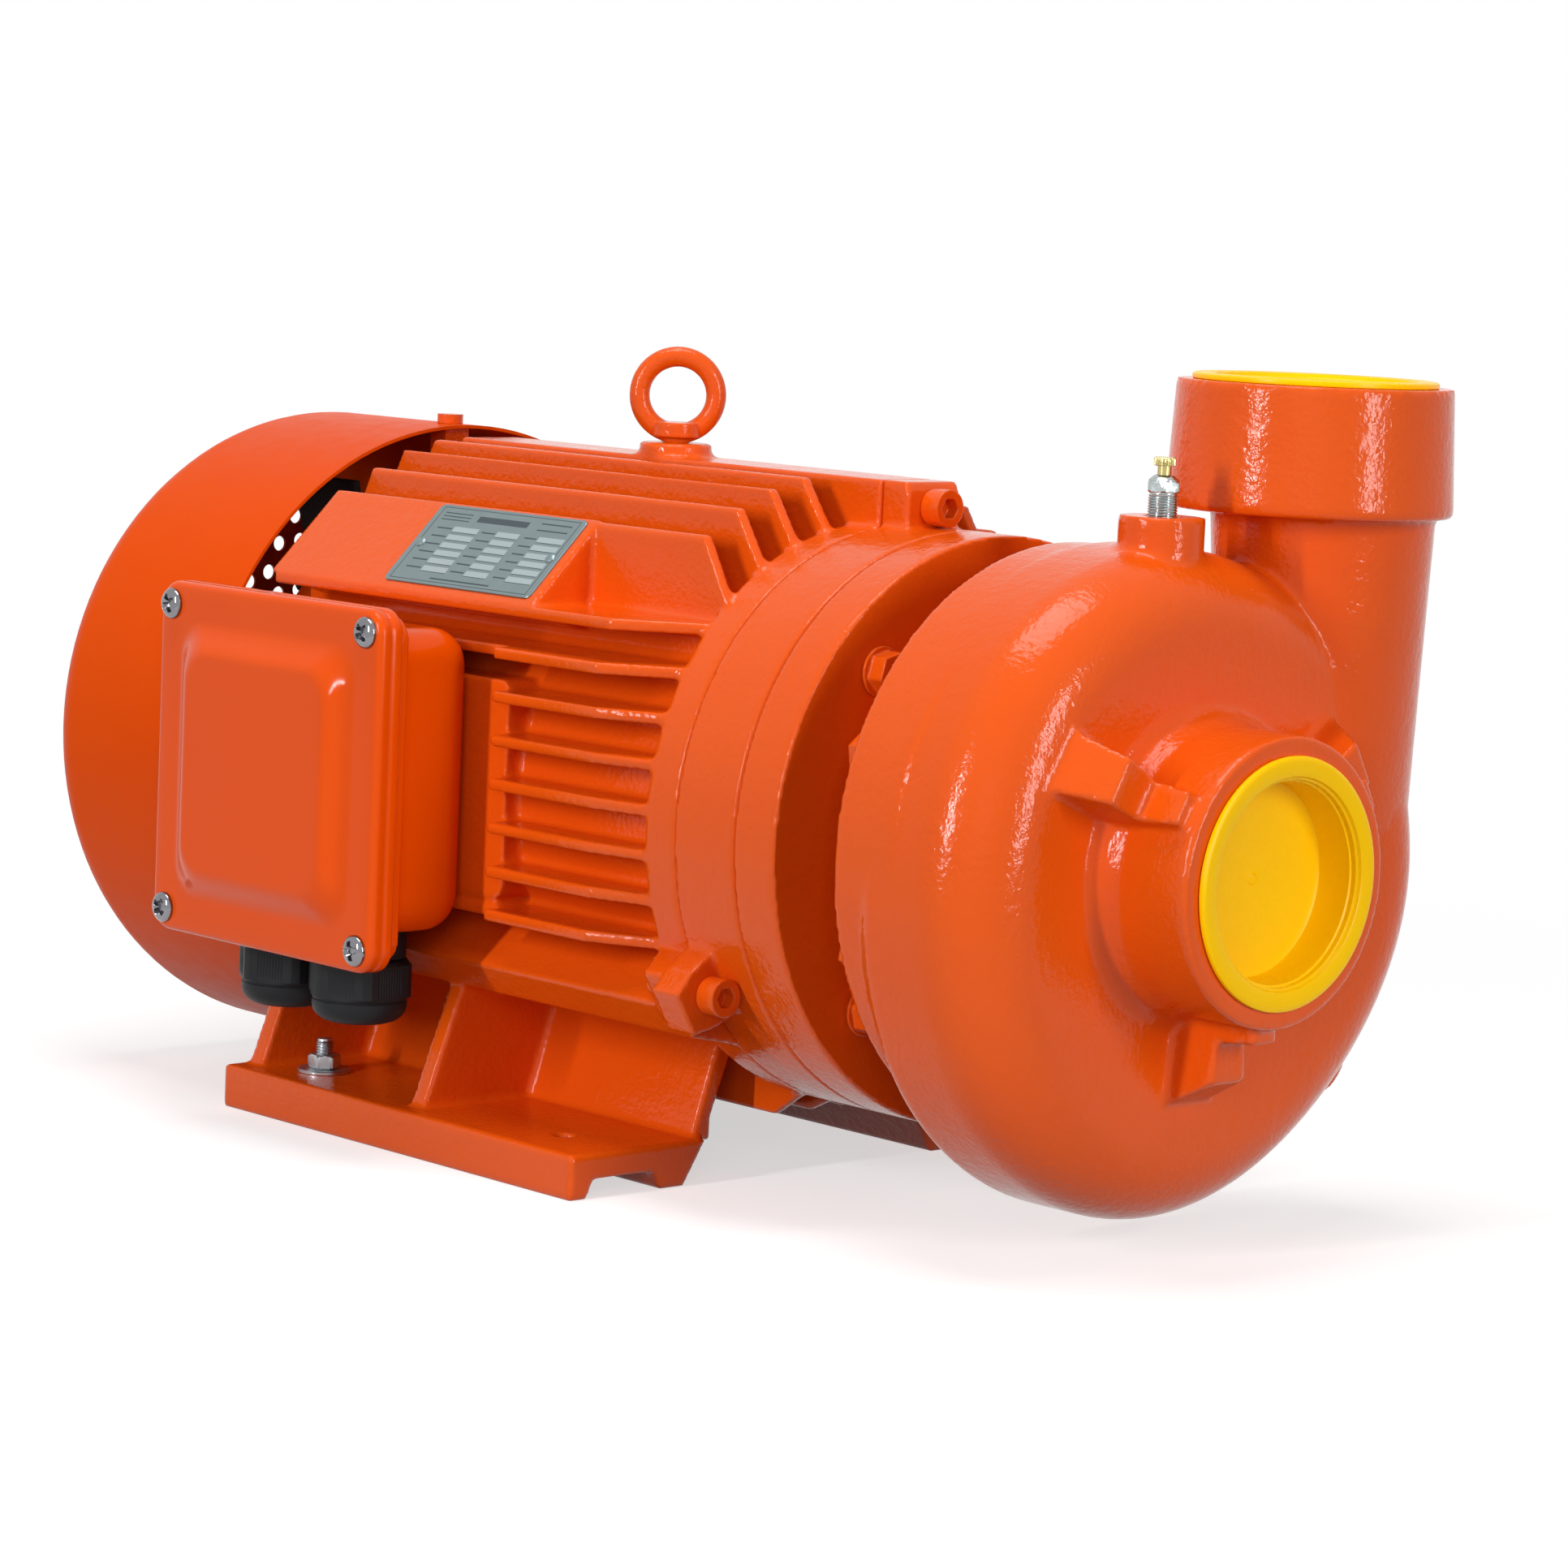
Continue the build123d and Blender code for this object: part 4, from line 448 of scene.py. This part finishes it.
# Cross-recess pan heads in the cover corners, each left at its own angle by the screwdriver
screwSettings = {
    "dx": 137.8, "dz": 134.9, "radius": 6.7, "height": 3.7, "turns": (24, 38, 12, 51),
    "slotHalf": 1.3, "slotReach": 4.3, "slotCentre": 2.7, "slotDepth": 2.2, "shank": 2.7, "shankEnd": 16.9,
}


def panHead(shape, x, z, given, turn):
    radius, height, seat = given["radius"], given["height"], coverSettings["face"]
    rings = [i / 34 for i in range(35)]

    def surface(u, v):
        r = math.hypot(u, v) / radius
        dome = height * (0.22 + 0.78 * math.sqrt(max(0, 1 - min(1, r) ** 2.4)))
        cosT, sinT = math.cos(math.radians(turn)), math.sin(math.radians(turn))
        a, b = u * cosT + v * sinT, v * cosT - u * sinT
        deep = 0
        for across, along in ((a, b), (b, a)):
            wall = min(1, max(0, (given["slotHalf"] - abs(across)) / 0.3))
            end = min(1, max(0, (given["slotReach"] - abs(along)) / 0.9))
            deep = max(deep, wall * end)
        centre = min(1, max(0, (given["slotCentre"] - math.hypot(u, v)) / 0.8))
        return dome - given["slotDepth"] * max(deep, centre * 0.8)

    def corner(u, v):
        return shape.verts.new(Vector((x + u, -seat - surface(u, v), z + v)) * mm)
    grid = [[corner(0, 0)]]
    for ring in rings[1:]:
        r = radius * math.sin(ring * math.pi / 2)
        angles = [2 * math.pi * i / 120 for i in range(120)]
        grid.append([corner(r * math.cos(a), r * math.sin(a)) for a in angles])
    foot = [shape.verts.new(Vector((v.co.x / mm, 0.05 - seat, v.co.z / mm)) * mm) for v in grid[-1]]
    grid.append(foot)
    for low, high in zip(grid, grid[1:]):
        joinRings(shape, low, high)
    shape.faces.new(foot)


def makeCoverScrews(given):
    shape = bmesh.new()
    corners = ((-1, 1), (1, 1), (1, -1), (-1, -1))
    shank, end = given["shank"], given["shankEnd"]
    for (sx, sz), turn in zip(corners, given["turns"]):
        x, z = coverSettings["x"] + sx * given["dx"] / 2, coverSettings["z"] + sz * given["dz"] / 2
        panHead(shape, x, z, given, turn)
        seat = (x, -coverSettings["face"], z)
        turned(shape, seat, (0, 1, 0), [(0, 0), (0, shank), (end, shank), (end, 0)], 24)
    return fromBmesh("coverScrewSet", shape, 32)


coverScrews = makeCoverScrews(screwSettings)
meshPiece("coverScrewSet", coverScrews, "pump", "chrome_steel", chromeSteel, ["cover_screws"])

# Cable glands: nylon dome nuts with finely ribbed flats, and bodies whose hexagon lies against the box
glandSettings = {
    "x": (-69, -18), "y": -143, "top": 99, "nutTop": 83.8, "nutLow": 55.5, "flats": 42,
    "bodyLow": 66.9, "bodyFlats": 37, "bodyCorner": 20.6, "sleeve": 12.8, "bore": 9, "spigot": 9.8,
}


def glandNut(shape, x, given):
    top, low, flats = given["nutTop"], given["nutLow"], given["flats"]
    outer = flats / 2 * 1.105
    # Height, radius and strength of the ribs, from the top down the outside and up the bore
    profile = [
        (top, 13.2, 0), (top, 18.5, 0), (top - 0.6, 20.3, 0), (top - 1.8, outer, 0), (top - 3, outer, 0.3),
        (top - 4, outer, 1), (top - 9, outer, 1), (top - 14, outer, 1), (top - 15, outer, 0.3),
        (top - 16, outer, 0), (top - 17, flats / 2 * 1.02, 0), (top - 17.6, 20.6, 0), (top - 18.1, 20.3, 0),
        (top - 18.6, 20.7, 0), (top - 21, 20.7, 0), (top - 23.4, 20.1, 0), (top - 25.4, 18.7, 0),
        (top - 27.1, 16.4, 0), (low + 0.3, 13.8, 0), (low, 11.6, 0), (low + 0.4, 10.2, 0),
        (low + 2.5, 9.5, 0), (top - 17, 9.5, 0), (top - 17, 13.2, 0), (top, 13.2, 0),
    ]

    def radiusAt(angle, along, index):
        _, limit, rib = profile[index]
        if limit < 17:
            return limit
        base = min(hexRadius(angle, flats, outer), limit)
        wrapped = (angle + math.pi / 6) % (math.pi / 3) - math.pi / 6
        ribbed = abs(wrapped) < math.radians(17)
        return base - (0.28 * rib * (0.5 + 0.5 * math.cos(angle * 96)) if ribbed else 0)
    spin(shape, (x, given["y"], 0), (0, 0, 1), [p[0] for p in profile], radiusAt, 576, (1, 0, 0))


def glandBody(shape, x, given):
    low, rim, sleeve, bore = given["bodyLow"], given["top"], given["sleeve"], given["bore"]
    end = rim + given["spigot"]
    profile = [
        (low, bore), (low, sleeve), (rim - 15, sleeve), (rim - 15, 18), (rim - 14.4, 19), (rim - 0.4, 19),
        (rim, 18.6), (rim, sleeve), (end, sleeve), (end, bore), (low, bore),
    ]

    def radiusAt(angle, along, index):
        limit = profile[index][1]
        trim = 1.06 if limit > 18 else 1  # past the flats, only the corners are trimmed
        return min(hexRadius(angle, given["bodyFlats"], given["bodyCorner"]), limit * trim)
    spin(shape, (x, given["y"], 0), (0, 0, 1), [p[0] for p in profile], radiusAt, 96, (1, 0, 0))


def makeGlands(given):
    nuts, bodies = bmesh.new(), bmesh.new()
    for x in given["x"]:
        glandNut(nuts, x, given)
        glandBody(bodies, x, given)
    return fromBmesh("glandNutSet", nuts, 30), fromBmesh("glandBodySet", bodies, 30)


glandNuts, glandBodies = makeGlands(glandSettings)
meshPiece("glandNutSet", glandNuts, "pump", "black_plastic", glandNylon, ["gland_nuts"])
meshPiece("glandBodySet", glandBodies, "pump", "black_plastic", glandNylon, ["gland_bodies"])

# Foot fastener: M8 bolt end, chamfered nut and a plain washer
footSettings = {
    "x": -84, "y": -110, "foot": 19.4, "recess": 8, "flats": 13, "head": 5.3, "shank": 3.9,
    "thread": 4, "pitch": 1.25, "boltEnd": 14.6, "nutTop": 8.1, "washer": 1.6, "washerRadius": 12,
}


def makeFootFastener(given):
    place = (given["x"], given["y"], 0)
    foot, recess, flats, shank, rim = (given[k] for k in ("foot", "recess", "flats", "shank", "washerRadius"))
    seat = foot + given["washer"]
    bolt, nut, washer = bmesh.new(), bmesh.new(), bmesh.new()
    hexNut(bolt, place, (0, 0, 1), flats, recess - given["head"], recess, (1, 0.3, 0))
    turned(bolt, place, (0, 0, 1), [(recess, 0), (recess, shank), (seat, shank), (seat, 0)], 32)
    thread(bolt, place, (0, 0, 1), given["thread"], given["pitch"], seat, foot + given["boltEnd"])
    hexNut(nut, place, (0, 0, 1), flats, seat, foot + given["nutTop"], (1, 0.45, 0))
    turned(washer, place, (0, 0, 1), [
        (foot + 0.4, 4.2), (foot, 4.5), (foot, rim - 0.4), (foot + 0.25, rim), (seat - 0.25, rim),
        (seat, rim - 0.3), (seat, 4.5), (seat - 0.4, 4.2), (foot + 0.4, 4.2),
    ], 72)
    return fromBmesh("footBolt", bolt, 28), fromBmesh("footNut", nut, 28), fromBmesh("footWasher", washer, 28)


footBolt, footNut, footWasher = makeFootFastener(footSettings)
meshPiece("footBoltThread", footBolt, "pump", "zinc_steel", zincSteel, ["foot_bolt"])
meshPiece("footNutHex", footNut, "pump", "zinc_steel", zincSteel, ["foot_nut"])
meshPiece("footWasherPlain", footWasher, "pump", "zinc_steel", zincSteel, ["foot_washer"])

# Bleed valve: plated body with a pipe thread, and a brass screw with a knurled head
bleedSettings = {
    "x": 305, "y": 2, "boss": 298.6, "threadTop": 308, "thread": 6.1, "pitch": 1.1, "sunk": 12,
    "hexTop": 312.8, "flats": 12.5, "bore": 3.0, "knob": 318.7,
}


def makeBleed(given):
    place = (given["x"], given["y"], 0)
    neck, top, low, bore = given["threadTop"], given["hexTop"], given["knob"], given["bore"]
    body, knob = bmesh.new(), bmesh.new()
    thread(body, place, (0, 0, 1), given["thread"], given["pitch"], given["boss"] - given["sunk"], neck - 0.4)
    turned(body, place, (0, 0, 1), [(neck - 1.4, 0), (neck - 1.4, 5.2), (neck, 5.3), (neck, 0)], 48)
    hexNut(body, place, (0, 0, 1), given["flats"], neck, top, (1, 0.9, 0))
    turned(body, place, (0, 0, 1), [
        (top, 0), (top, 6.1), (top + 0.3, 6.1), (top + 1.1, 5.3), (top + 2.1, 4.0), (top + 2.3, 3.4),
        (top + 2.1, bore), (top - 10, bore), (top - 10, 0),
    ], 64)

    def knurl(angle, along, index):
        base = (0, 2.8, 2.8, 3.9, 4.2, 4.2, 4.2, 3.9, 2.1, 0)[index]
        return base + (0.2 * math.cos(angle * 26) if 4 <= index <= 6 else 0)
    levels = (-8.5, -8.5, 0, 0, 0.35, 1.7, 3.1, 3.5, 3.3, 3.2)
    spin(knob, place, (0, 0, 1), [low + level for level in levels], knurl, 240)
    return fromBmesh("bleedBody", body, 30), fromBmesh("bleedKnob", knob, 30)


bleedBody, bleedKnob = makeBleed(bleedSettings)
meshPiece("bleedValveBody", bleedBody, "pump", "nickel_brass", nickelBrass, ["bleed_body"])
meshPiece("bleedValveKnob", bleedKnob, "knob", "brass", turnedBrass, ["bleed_knob"])

# Transit plugs: thin cups with a broad rolled flange, two steps in the mouth and a sprue mark on the floor
plugSettings = {"flange": 50.9, "thick": 2.8, "wall": 42.9, "depth": 20}
plugPlaces = {
    # name: middle of the flange's seat, way out, body, node
    "suctionPlugCup": ((383, 0, shaftHeight), (1, 0, 0), "suction_cap", "suction_plug"),
    "dischargePlugCup": ((304, 92, 352.5), (0, 0, 1), "discharge_cap", "discharge_plug"),
}


def plugProfile(given):
    flange, thick, wall, floor = given["flange"], given["thick"], given["wall"], -given["depth"]
    # From the middle of the floor up the outside, round the flange and down the inside
    return [
        (floor + 0.6, 0), (floor + 0.2, wall - 6), (floor + 2.5, wall - 1.2), (floor + 3.6, wall - 0.35),
        (-6, wall), (-0.3, wall), (0, wall + 0.5), (0, flange - 0.7), (0.35, flange - 0.15), (1.2, flange),
        (2.1, flange - 0.25), (thick - 0.15, flange - 1.1), (thick, flange - 2.4), (thick - 0.1, wall + 0.9),
        (thick - 0.6, wall - 0.1), (thick - 1.6, wall - 0.5), (1.0, wall - 0.6), (0.5, wall - 1.5),
        (-1.6, wall - 1.6), (-2.0, wall - 2.5), (floor + 5.0, wall - 3.0), (floor + 3.2, wall - 3.6),
        (floor + 2.4, wall - 5.2), (floor + 2.2, 3), (floor + 2.6, 2.6), (floor + 2.9, 2.0),
        (floor + 2.4, 1.5), (floor + 2.4, 0),
    ]


for name, (seat, wayOut, body, node) in plugPlaces.items():
    shape = bmesh.new()
    turned(shape, seat, wayOut, plugProfile(plugSettings), 160)
    meshPiece(name, fromBmesh(name, shape, 38), body, "yellow_plastic", plugPlastic, [node])

# Nameplate: brushed plate with an empty ruled table, riveted at both ends
plateSettings = {
    "x": 6, "reach": 143.5, "length": 99, "width": 46, "thick": 0.8, "corner": 3, "rivets": 88,
    "sunk": 0.1, "inkLift": 0.03, "fieldLift": 0.02,
}
# Screen print lies flat and dull on the brushed plate: dark rules round pale fields
plateInk = makeMoulded("screenInk", "#4C565A", "#434C50", 0.5, 0.6, 0.6, 0.000002, 0.0)
plateField = makeMoulded("screenWhite", "#A3B0B1", "#9BA8A9", 0.45, 0.55, 0.6, 0.000002, 0.0)


def plateFrame(given):
    reach = given["reach"] * math.sin(math.radians(45))
    origin = Vector((given["x"], -reach, shaftHeight + reach))
    normal = Vector((0, -1, 1)).normalized()
    along = Vector((1, 0, 0))
    return origin, along, normal.cross(along), normal


def plateBar(shape, given, u, v, length, width, low, high):
    origin, along, up, normal = plateFrame(given)
    corners = []
    for lift in (low, high):
        for su, sv in ((-1, -1), (1, -1), (1, 1), (-1, 1)):
            point = origin + along * (u + su * length / 2) + up * (v + sv * width / 2) + normal * lift
            corners.append(shape.verts.new(point * mm))
    for face in ((3, 2, 1, 0), (4, 5, 6, 7), (0, 1, 5, 4), (1, 2, 6, 5), (2, 3, 7, 6), (3, 0, 4, 7)):
        shape.faces.new([corners[i] for i in face])


def makeNameplate(given):
    origin, along, up, normal = plateFrame(given)
    plate, ink, field, rivets = bmesh.new(), bmesh.new(), bmesh.new(), bmesh.new()
    top, corner = given["thick"], given["corner"]
    loops = []
    for inset, lift in ((0, 0), (0, top - 0.25), (0.25, top)):
        ring = []
        for su, sv, begin in ((1, 1, 0), (-1, 1, 90), (-1, -1, 180), (1, -1, 270)):
            for i in range(7):
                a = math.radians(begin + i * 15)
                u = su * (given["length"] / 2 - corner) + (corner - inset) * math.cos(a)
                v = sv * (given["width"] / 2 - corner) + (corner - inset) * math.sin(a)
                ring.append(plate.verts.new((origin + along * u + up * v + normal * lift) * mm))
        loops.append(ring)
    for low, high in zip(loops, loops[1:]):
        joinRings(plate, low, high)
    plate.faces.new(loops[0])
    plate.faces.new(loops[-1])

    def rule(u, v, length, width):
        plateBar(ink, given, u, v, length, width, top - given["sunk"], top + given["inkLift"])
    for v in (21.3, -21.3):  # border, top and bottom
        rule(0, v, 92, 0.35)
    for u in (-46, 46):
        rule(u, 0, 0.35, 42.9)
    rule(-2, 16.4, 34, 3.4)  # head band, between two blocks of short rules
    for v in (18.2, 16.3, 14.4):
        rule(-33.5, v, 19, 0.55)
    for v in (18.2, 14.4):
        rule(32.5, v, 20, 0.7)
    for row in range(6):
        v = 9.3 - row * 4.7
        for u, label, box in ((-41, 10, 17), (-10.5, 9, 15), (18.5, 8, 17)):
            middle = u + label + 1 + box / 2
            rule(u + label / 2, v, label, 0.75)
            plateBar(field, given, middle, v, box, 3.0, top - given["sunk"], top + given["fieldLift"])
            rule(middle, v - 1.75, box, 0.25)
    rule(0, -19.4, 40, 0.8)  # foot line
    for u in (-given["rivets"] / 2, given["rivets"] / 2):
        place = origin + along * u + normal * top
        turned(rivets, place, normal, [(0, 0), (0, 2.6), (0.35, 2.5), (0.7, 1.9), (0.9, 1.1), (1.0, 0)], 32)
        turned(rivets, place, -normal, [(0, 0), (0, 1.8), (0.8, 1.8), (0.8, 0)], 20)
    named = {
        "nameplateBlank": plate, "nameplateRules": ink, "nameplateFields": field, "nameplateRivets": rivets,
    }
    return [fromBmesh(name, shape, 30) for name, shape in named.items()]


plateMesh, inkMesh, fieldMesh, rivetMesh = makeNameplate(plateSettings)
meshPiece("nameplateBlank", plateMesh, "pump", "plate", plateAluminium, ["nameplate"])
meshPiece("nameplateRules", inkMesh, "pump", "plate", plateInk)
meshPiece("nameplateFields", fieldMesh, "pump", "plate", plateField)
meshPiece("nameplateRivetPair", rivetMesh, "pump", "plate", plateAluminium, ["nameplate_rivets"])


def smoothCopy(node, body, slot, material, name, angle):
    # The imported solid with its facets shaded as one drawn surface
    shape = bmesh.new()
    shape.from_mesh(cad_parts[node].data)
    bmesh.ops.remove_doubles(shape, verts=shape.verts, dist=0.00001)
    return meshPiece(name, fromBmesh(name, shape, angle), body, slot, material, [node])


smoothCopy("fan_cowl", "pump", "orange_sheet", sheetEnamel, "drawnCowl", 30)
print("turned and moulded pieces made")

# Camera, floor and light

cameraSettings = {
    "place": (1610.5, -1421.2, 411.5), "yaw": 46.88, "pitch": -6.75, "roll": 2.61,
    "lens": 110.31, "sensor": 36,
}


def makeCamera(given):
    yaw, pitch, roll = (math.radians(given[k]) for k in ("yaw", "pitch", "roll"))
    forward = Vector((-math.sin(yaw) * math.cos(pitch), math.cos(yaw) * math.cos(pitch), math.sin(pitch)))
    right = forward.cross(Vector((0, 0, 1))).normalized()
    up = right.cross(forward)
    turnedRight = right * math.cos(roll) + up * math.sin(roll)
    turnedUp = up * math.cos(roll) - right * math.sin(roll)
    data = bpy.data.cameras.new("camera")
    data.lens = given["lens"]
    data.sensor_width = given["sensor"]
    data.clip_end = 20
    camera = bpy.data.objects.new("camera", data)
    bpy.context.scene.collection.objects.link(camera)
    turn = Matrix((turnedRight, turnedUp, -forward)).transposed().to_4x4()
    camera.matrix_world = Matrix.Translation(Vector(given["place"]) * mm) @ turn
    bpy.context.scene.camera = camera


makeCamera(cameraSettings)
bpy.context.scene.view_settings.view_transform = "Standard"

lightSettings = {
    # name: place in m, aim in m, width, height, watts, seen in gloss
    "leftSoftbox": ((0.1, -2.2, 0.8), (0.1, 0, 0.2), 0.08, 0.9, 27, True),
    "rightSoftbox": ((2.4, 0.1, 0.7), (0.25, 0, 0.2), 0.3, 1.2, 25, True),
    "topSoftbox": ((0.1, -0.2, 2.2), (0.1, 0, 0.2), 1.2, 1.0, 26, True),
    "cameraFill": ((2.0, -2.2, 0.9), (0.1, 0, 0.15), 1.4, 1.2, 20, False),
    "rearFill": ((-2.2, 2.3, 1.0), (0, 0, 0.15), 1.4, 1.2, 26, False),
}
for name, (place, aim, width, height, watts, inGloss) in lightSettings.items():
    data = bpy.data.lights.new(name, "AREA")
    data.shape = "RECTANGLE"
    data.size = width
    data.size_y = height
    data.energy = watts
    lamp = bpy.data.objects.new(name, data)
    bpy.context.scene.collection.objects.link(lamp)
    lamp.location = place
    lamp.visible_glossy = inGloss
    lamp.rotation_euler = (Vector(aim) - Vector(place)).to_track_quat("-Z", "Y").to_euler()


# The paper is white to the eye and to metal, dimmer in what it throws back up, and plain white far off
stageSettings = {
    "room": 0.11, "floor": 0.55, "bounce": 0.32, "lift": 0.6, "near": 0.55, "far": 1.1, "size": 40,
}


def whereSeen(tree):
    # 1 for rays from the camera and for what metal and glass show
    path = addNode(tree, "ShaderNodeLightPath")
    shine = addNode(tree, "ShaderNodeMath", {"operation": "MAXIMUM"}, {
        0: path.outputs["Is Glossy Ray"], 1: path.outputs["Is Transmission Ray"],
    })
    return addNode(tree, "ShaderNodeMath", {"operation": "MAXIMUM"}, {
        0: path.outputs["Is Camera Ray"], 1: shine.outputs[0],
    }).outputs[0]


def makeStage(given):
    world = bpy.data.worlds.new("studio")
    bpy.context.scene.world = world
    world.use_nodes = True
    tree = world.node_tree
    tree.nodes.clear()
    room = addNode(tree, "ShaderNodeBackground", {"Color": (1, 1, 1, 1), "Strength": given["room"]})
    white = addNode(tree, "ShaderNodeBackground", {"Color": (1, 1, 1, 1), "Strength": 1.0})
    mixed = addNode(tree, "ShaderNodeMixShader", {}, {
        0: whereSeen(tree), 1: room.outputs[0], 2: white.outputs[0],
    })
    addNode(tree, "ShaderNodeOutputWorld", {}, {"Surface": mixed.outputs[0]})
    shape = bmesh.new()
    bmesh.ops.create_grid(shape, x_segments=1, y_segments=1, size=given["size"] / 2)
    mesh = bpy.data.meshes.new("floor")
    shape.to_mesh(mesh)
    shape.free()
    floor = bpy.data.objects.new("floor", mesh)
    bpy.context.scene.collection.objects.link(floor)
    material = bpy.data.materials.new("paperFloor")
    material.use_nodes = True
    tree = material.node_tree
    tree.nodes.clear()
    paper = addNode(tree, "ShaderNodeBsdfDiffuse", {"Color": [given["floor"]] * 3 + [1]})
    dim = addNode(tree, "ShaderNodeBsdfDiffuse", {"Color": [given["bounce"]] * 3 + [1]})
    matt = addNode(tree, "ShaderNodeMixShader", {}, {
        0: whereSeen(tree), 1: dim.outputs[0], 2: paper.outputs[0],
    })
    lift = addNode(tree, "ShaderNodeMath", {"operation": "MULTIPLY", 1: given["lift"]}, {0: whereSeen(tree)})
    glow = addNode(tree, "ShaderNodeEmission", {"Color": (1, 1, 1, 1)}, {"Strength": lift.outputs[0]})
    both = addNode(tree, "ShaderNodeAddShader", {}, {0: matt.outputs[0], 1: glow.outputs[0]})
    plain = addNode(tree, "ShaderNodeEmission", {"Color": (1, 1, 1, 1)}, {"Strength": whereSeen(tree)})
    place = addNode(tree, "ShaderNodeTexCoord").outputs["Object"]
    away = addNode(tree, "ShaderNodeVectorMath", {"operation": "LENGTH"}, {0: place})
    fade = addNode(tree, "ShaderNodeMapRange", {"From Min": given["near"], "From Max": given["far"]}, {
        "Value": away.outputs["Value"],
    })
    sheet = addNode(tree, "ShaderNodeMixShader", {}, {
        0: fade.outputs[0], 1: both.outputs[0], 2: plain.outputs[0],
    })
    addNode(tree, "ShaderNodeOutputMaterial", {}, {"Surface": sheet.outputs[0]})
    mesh.materials.append(material)


makeStage(stageSettings)
print("camera, floor and light set")
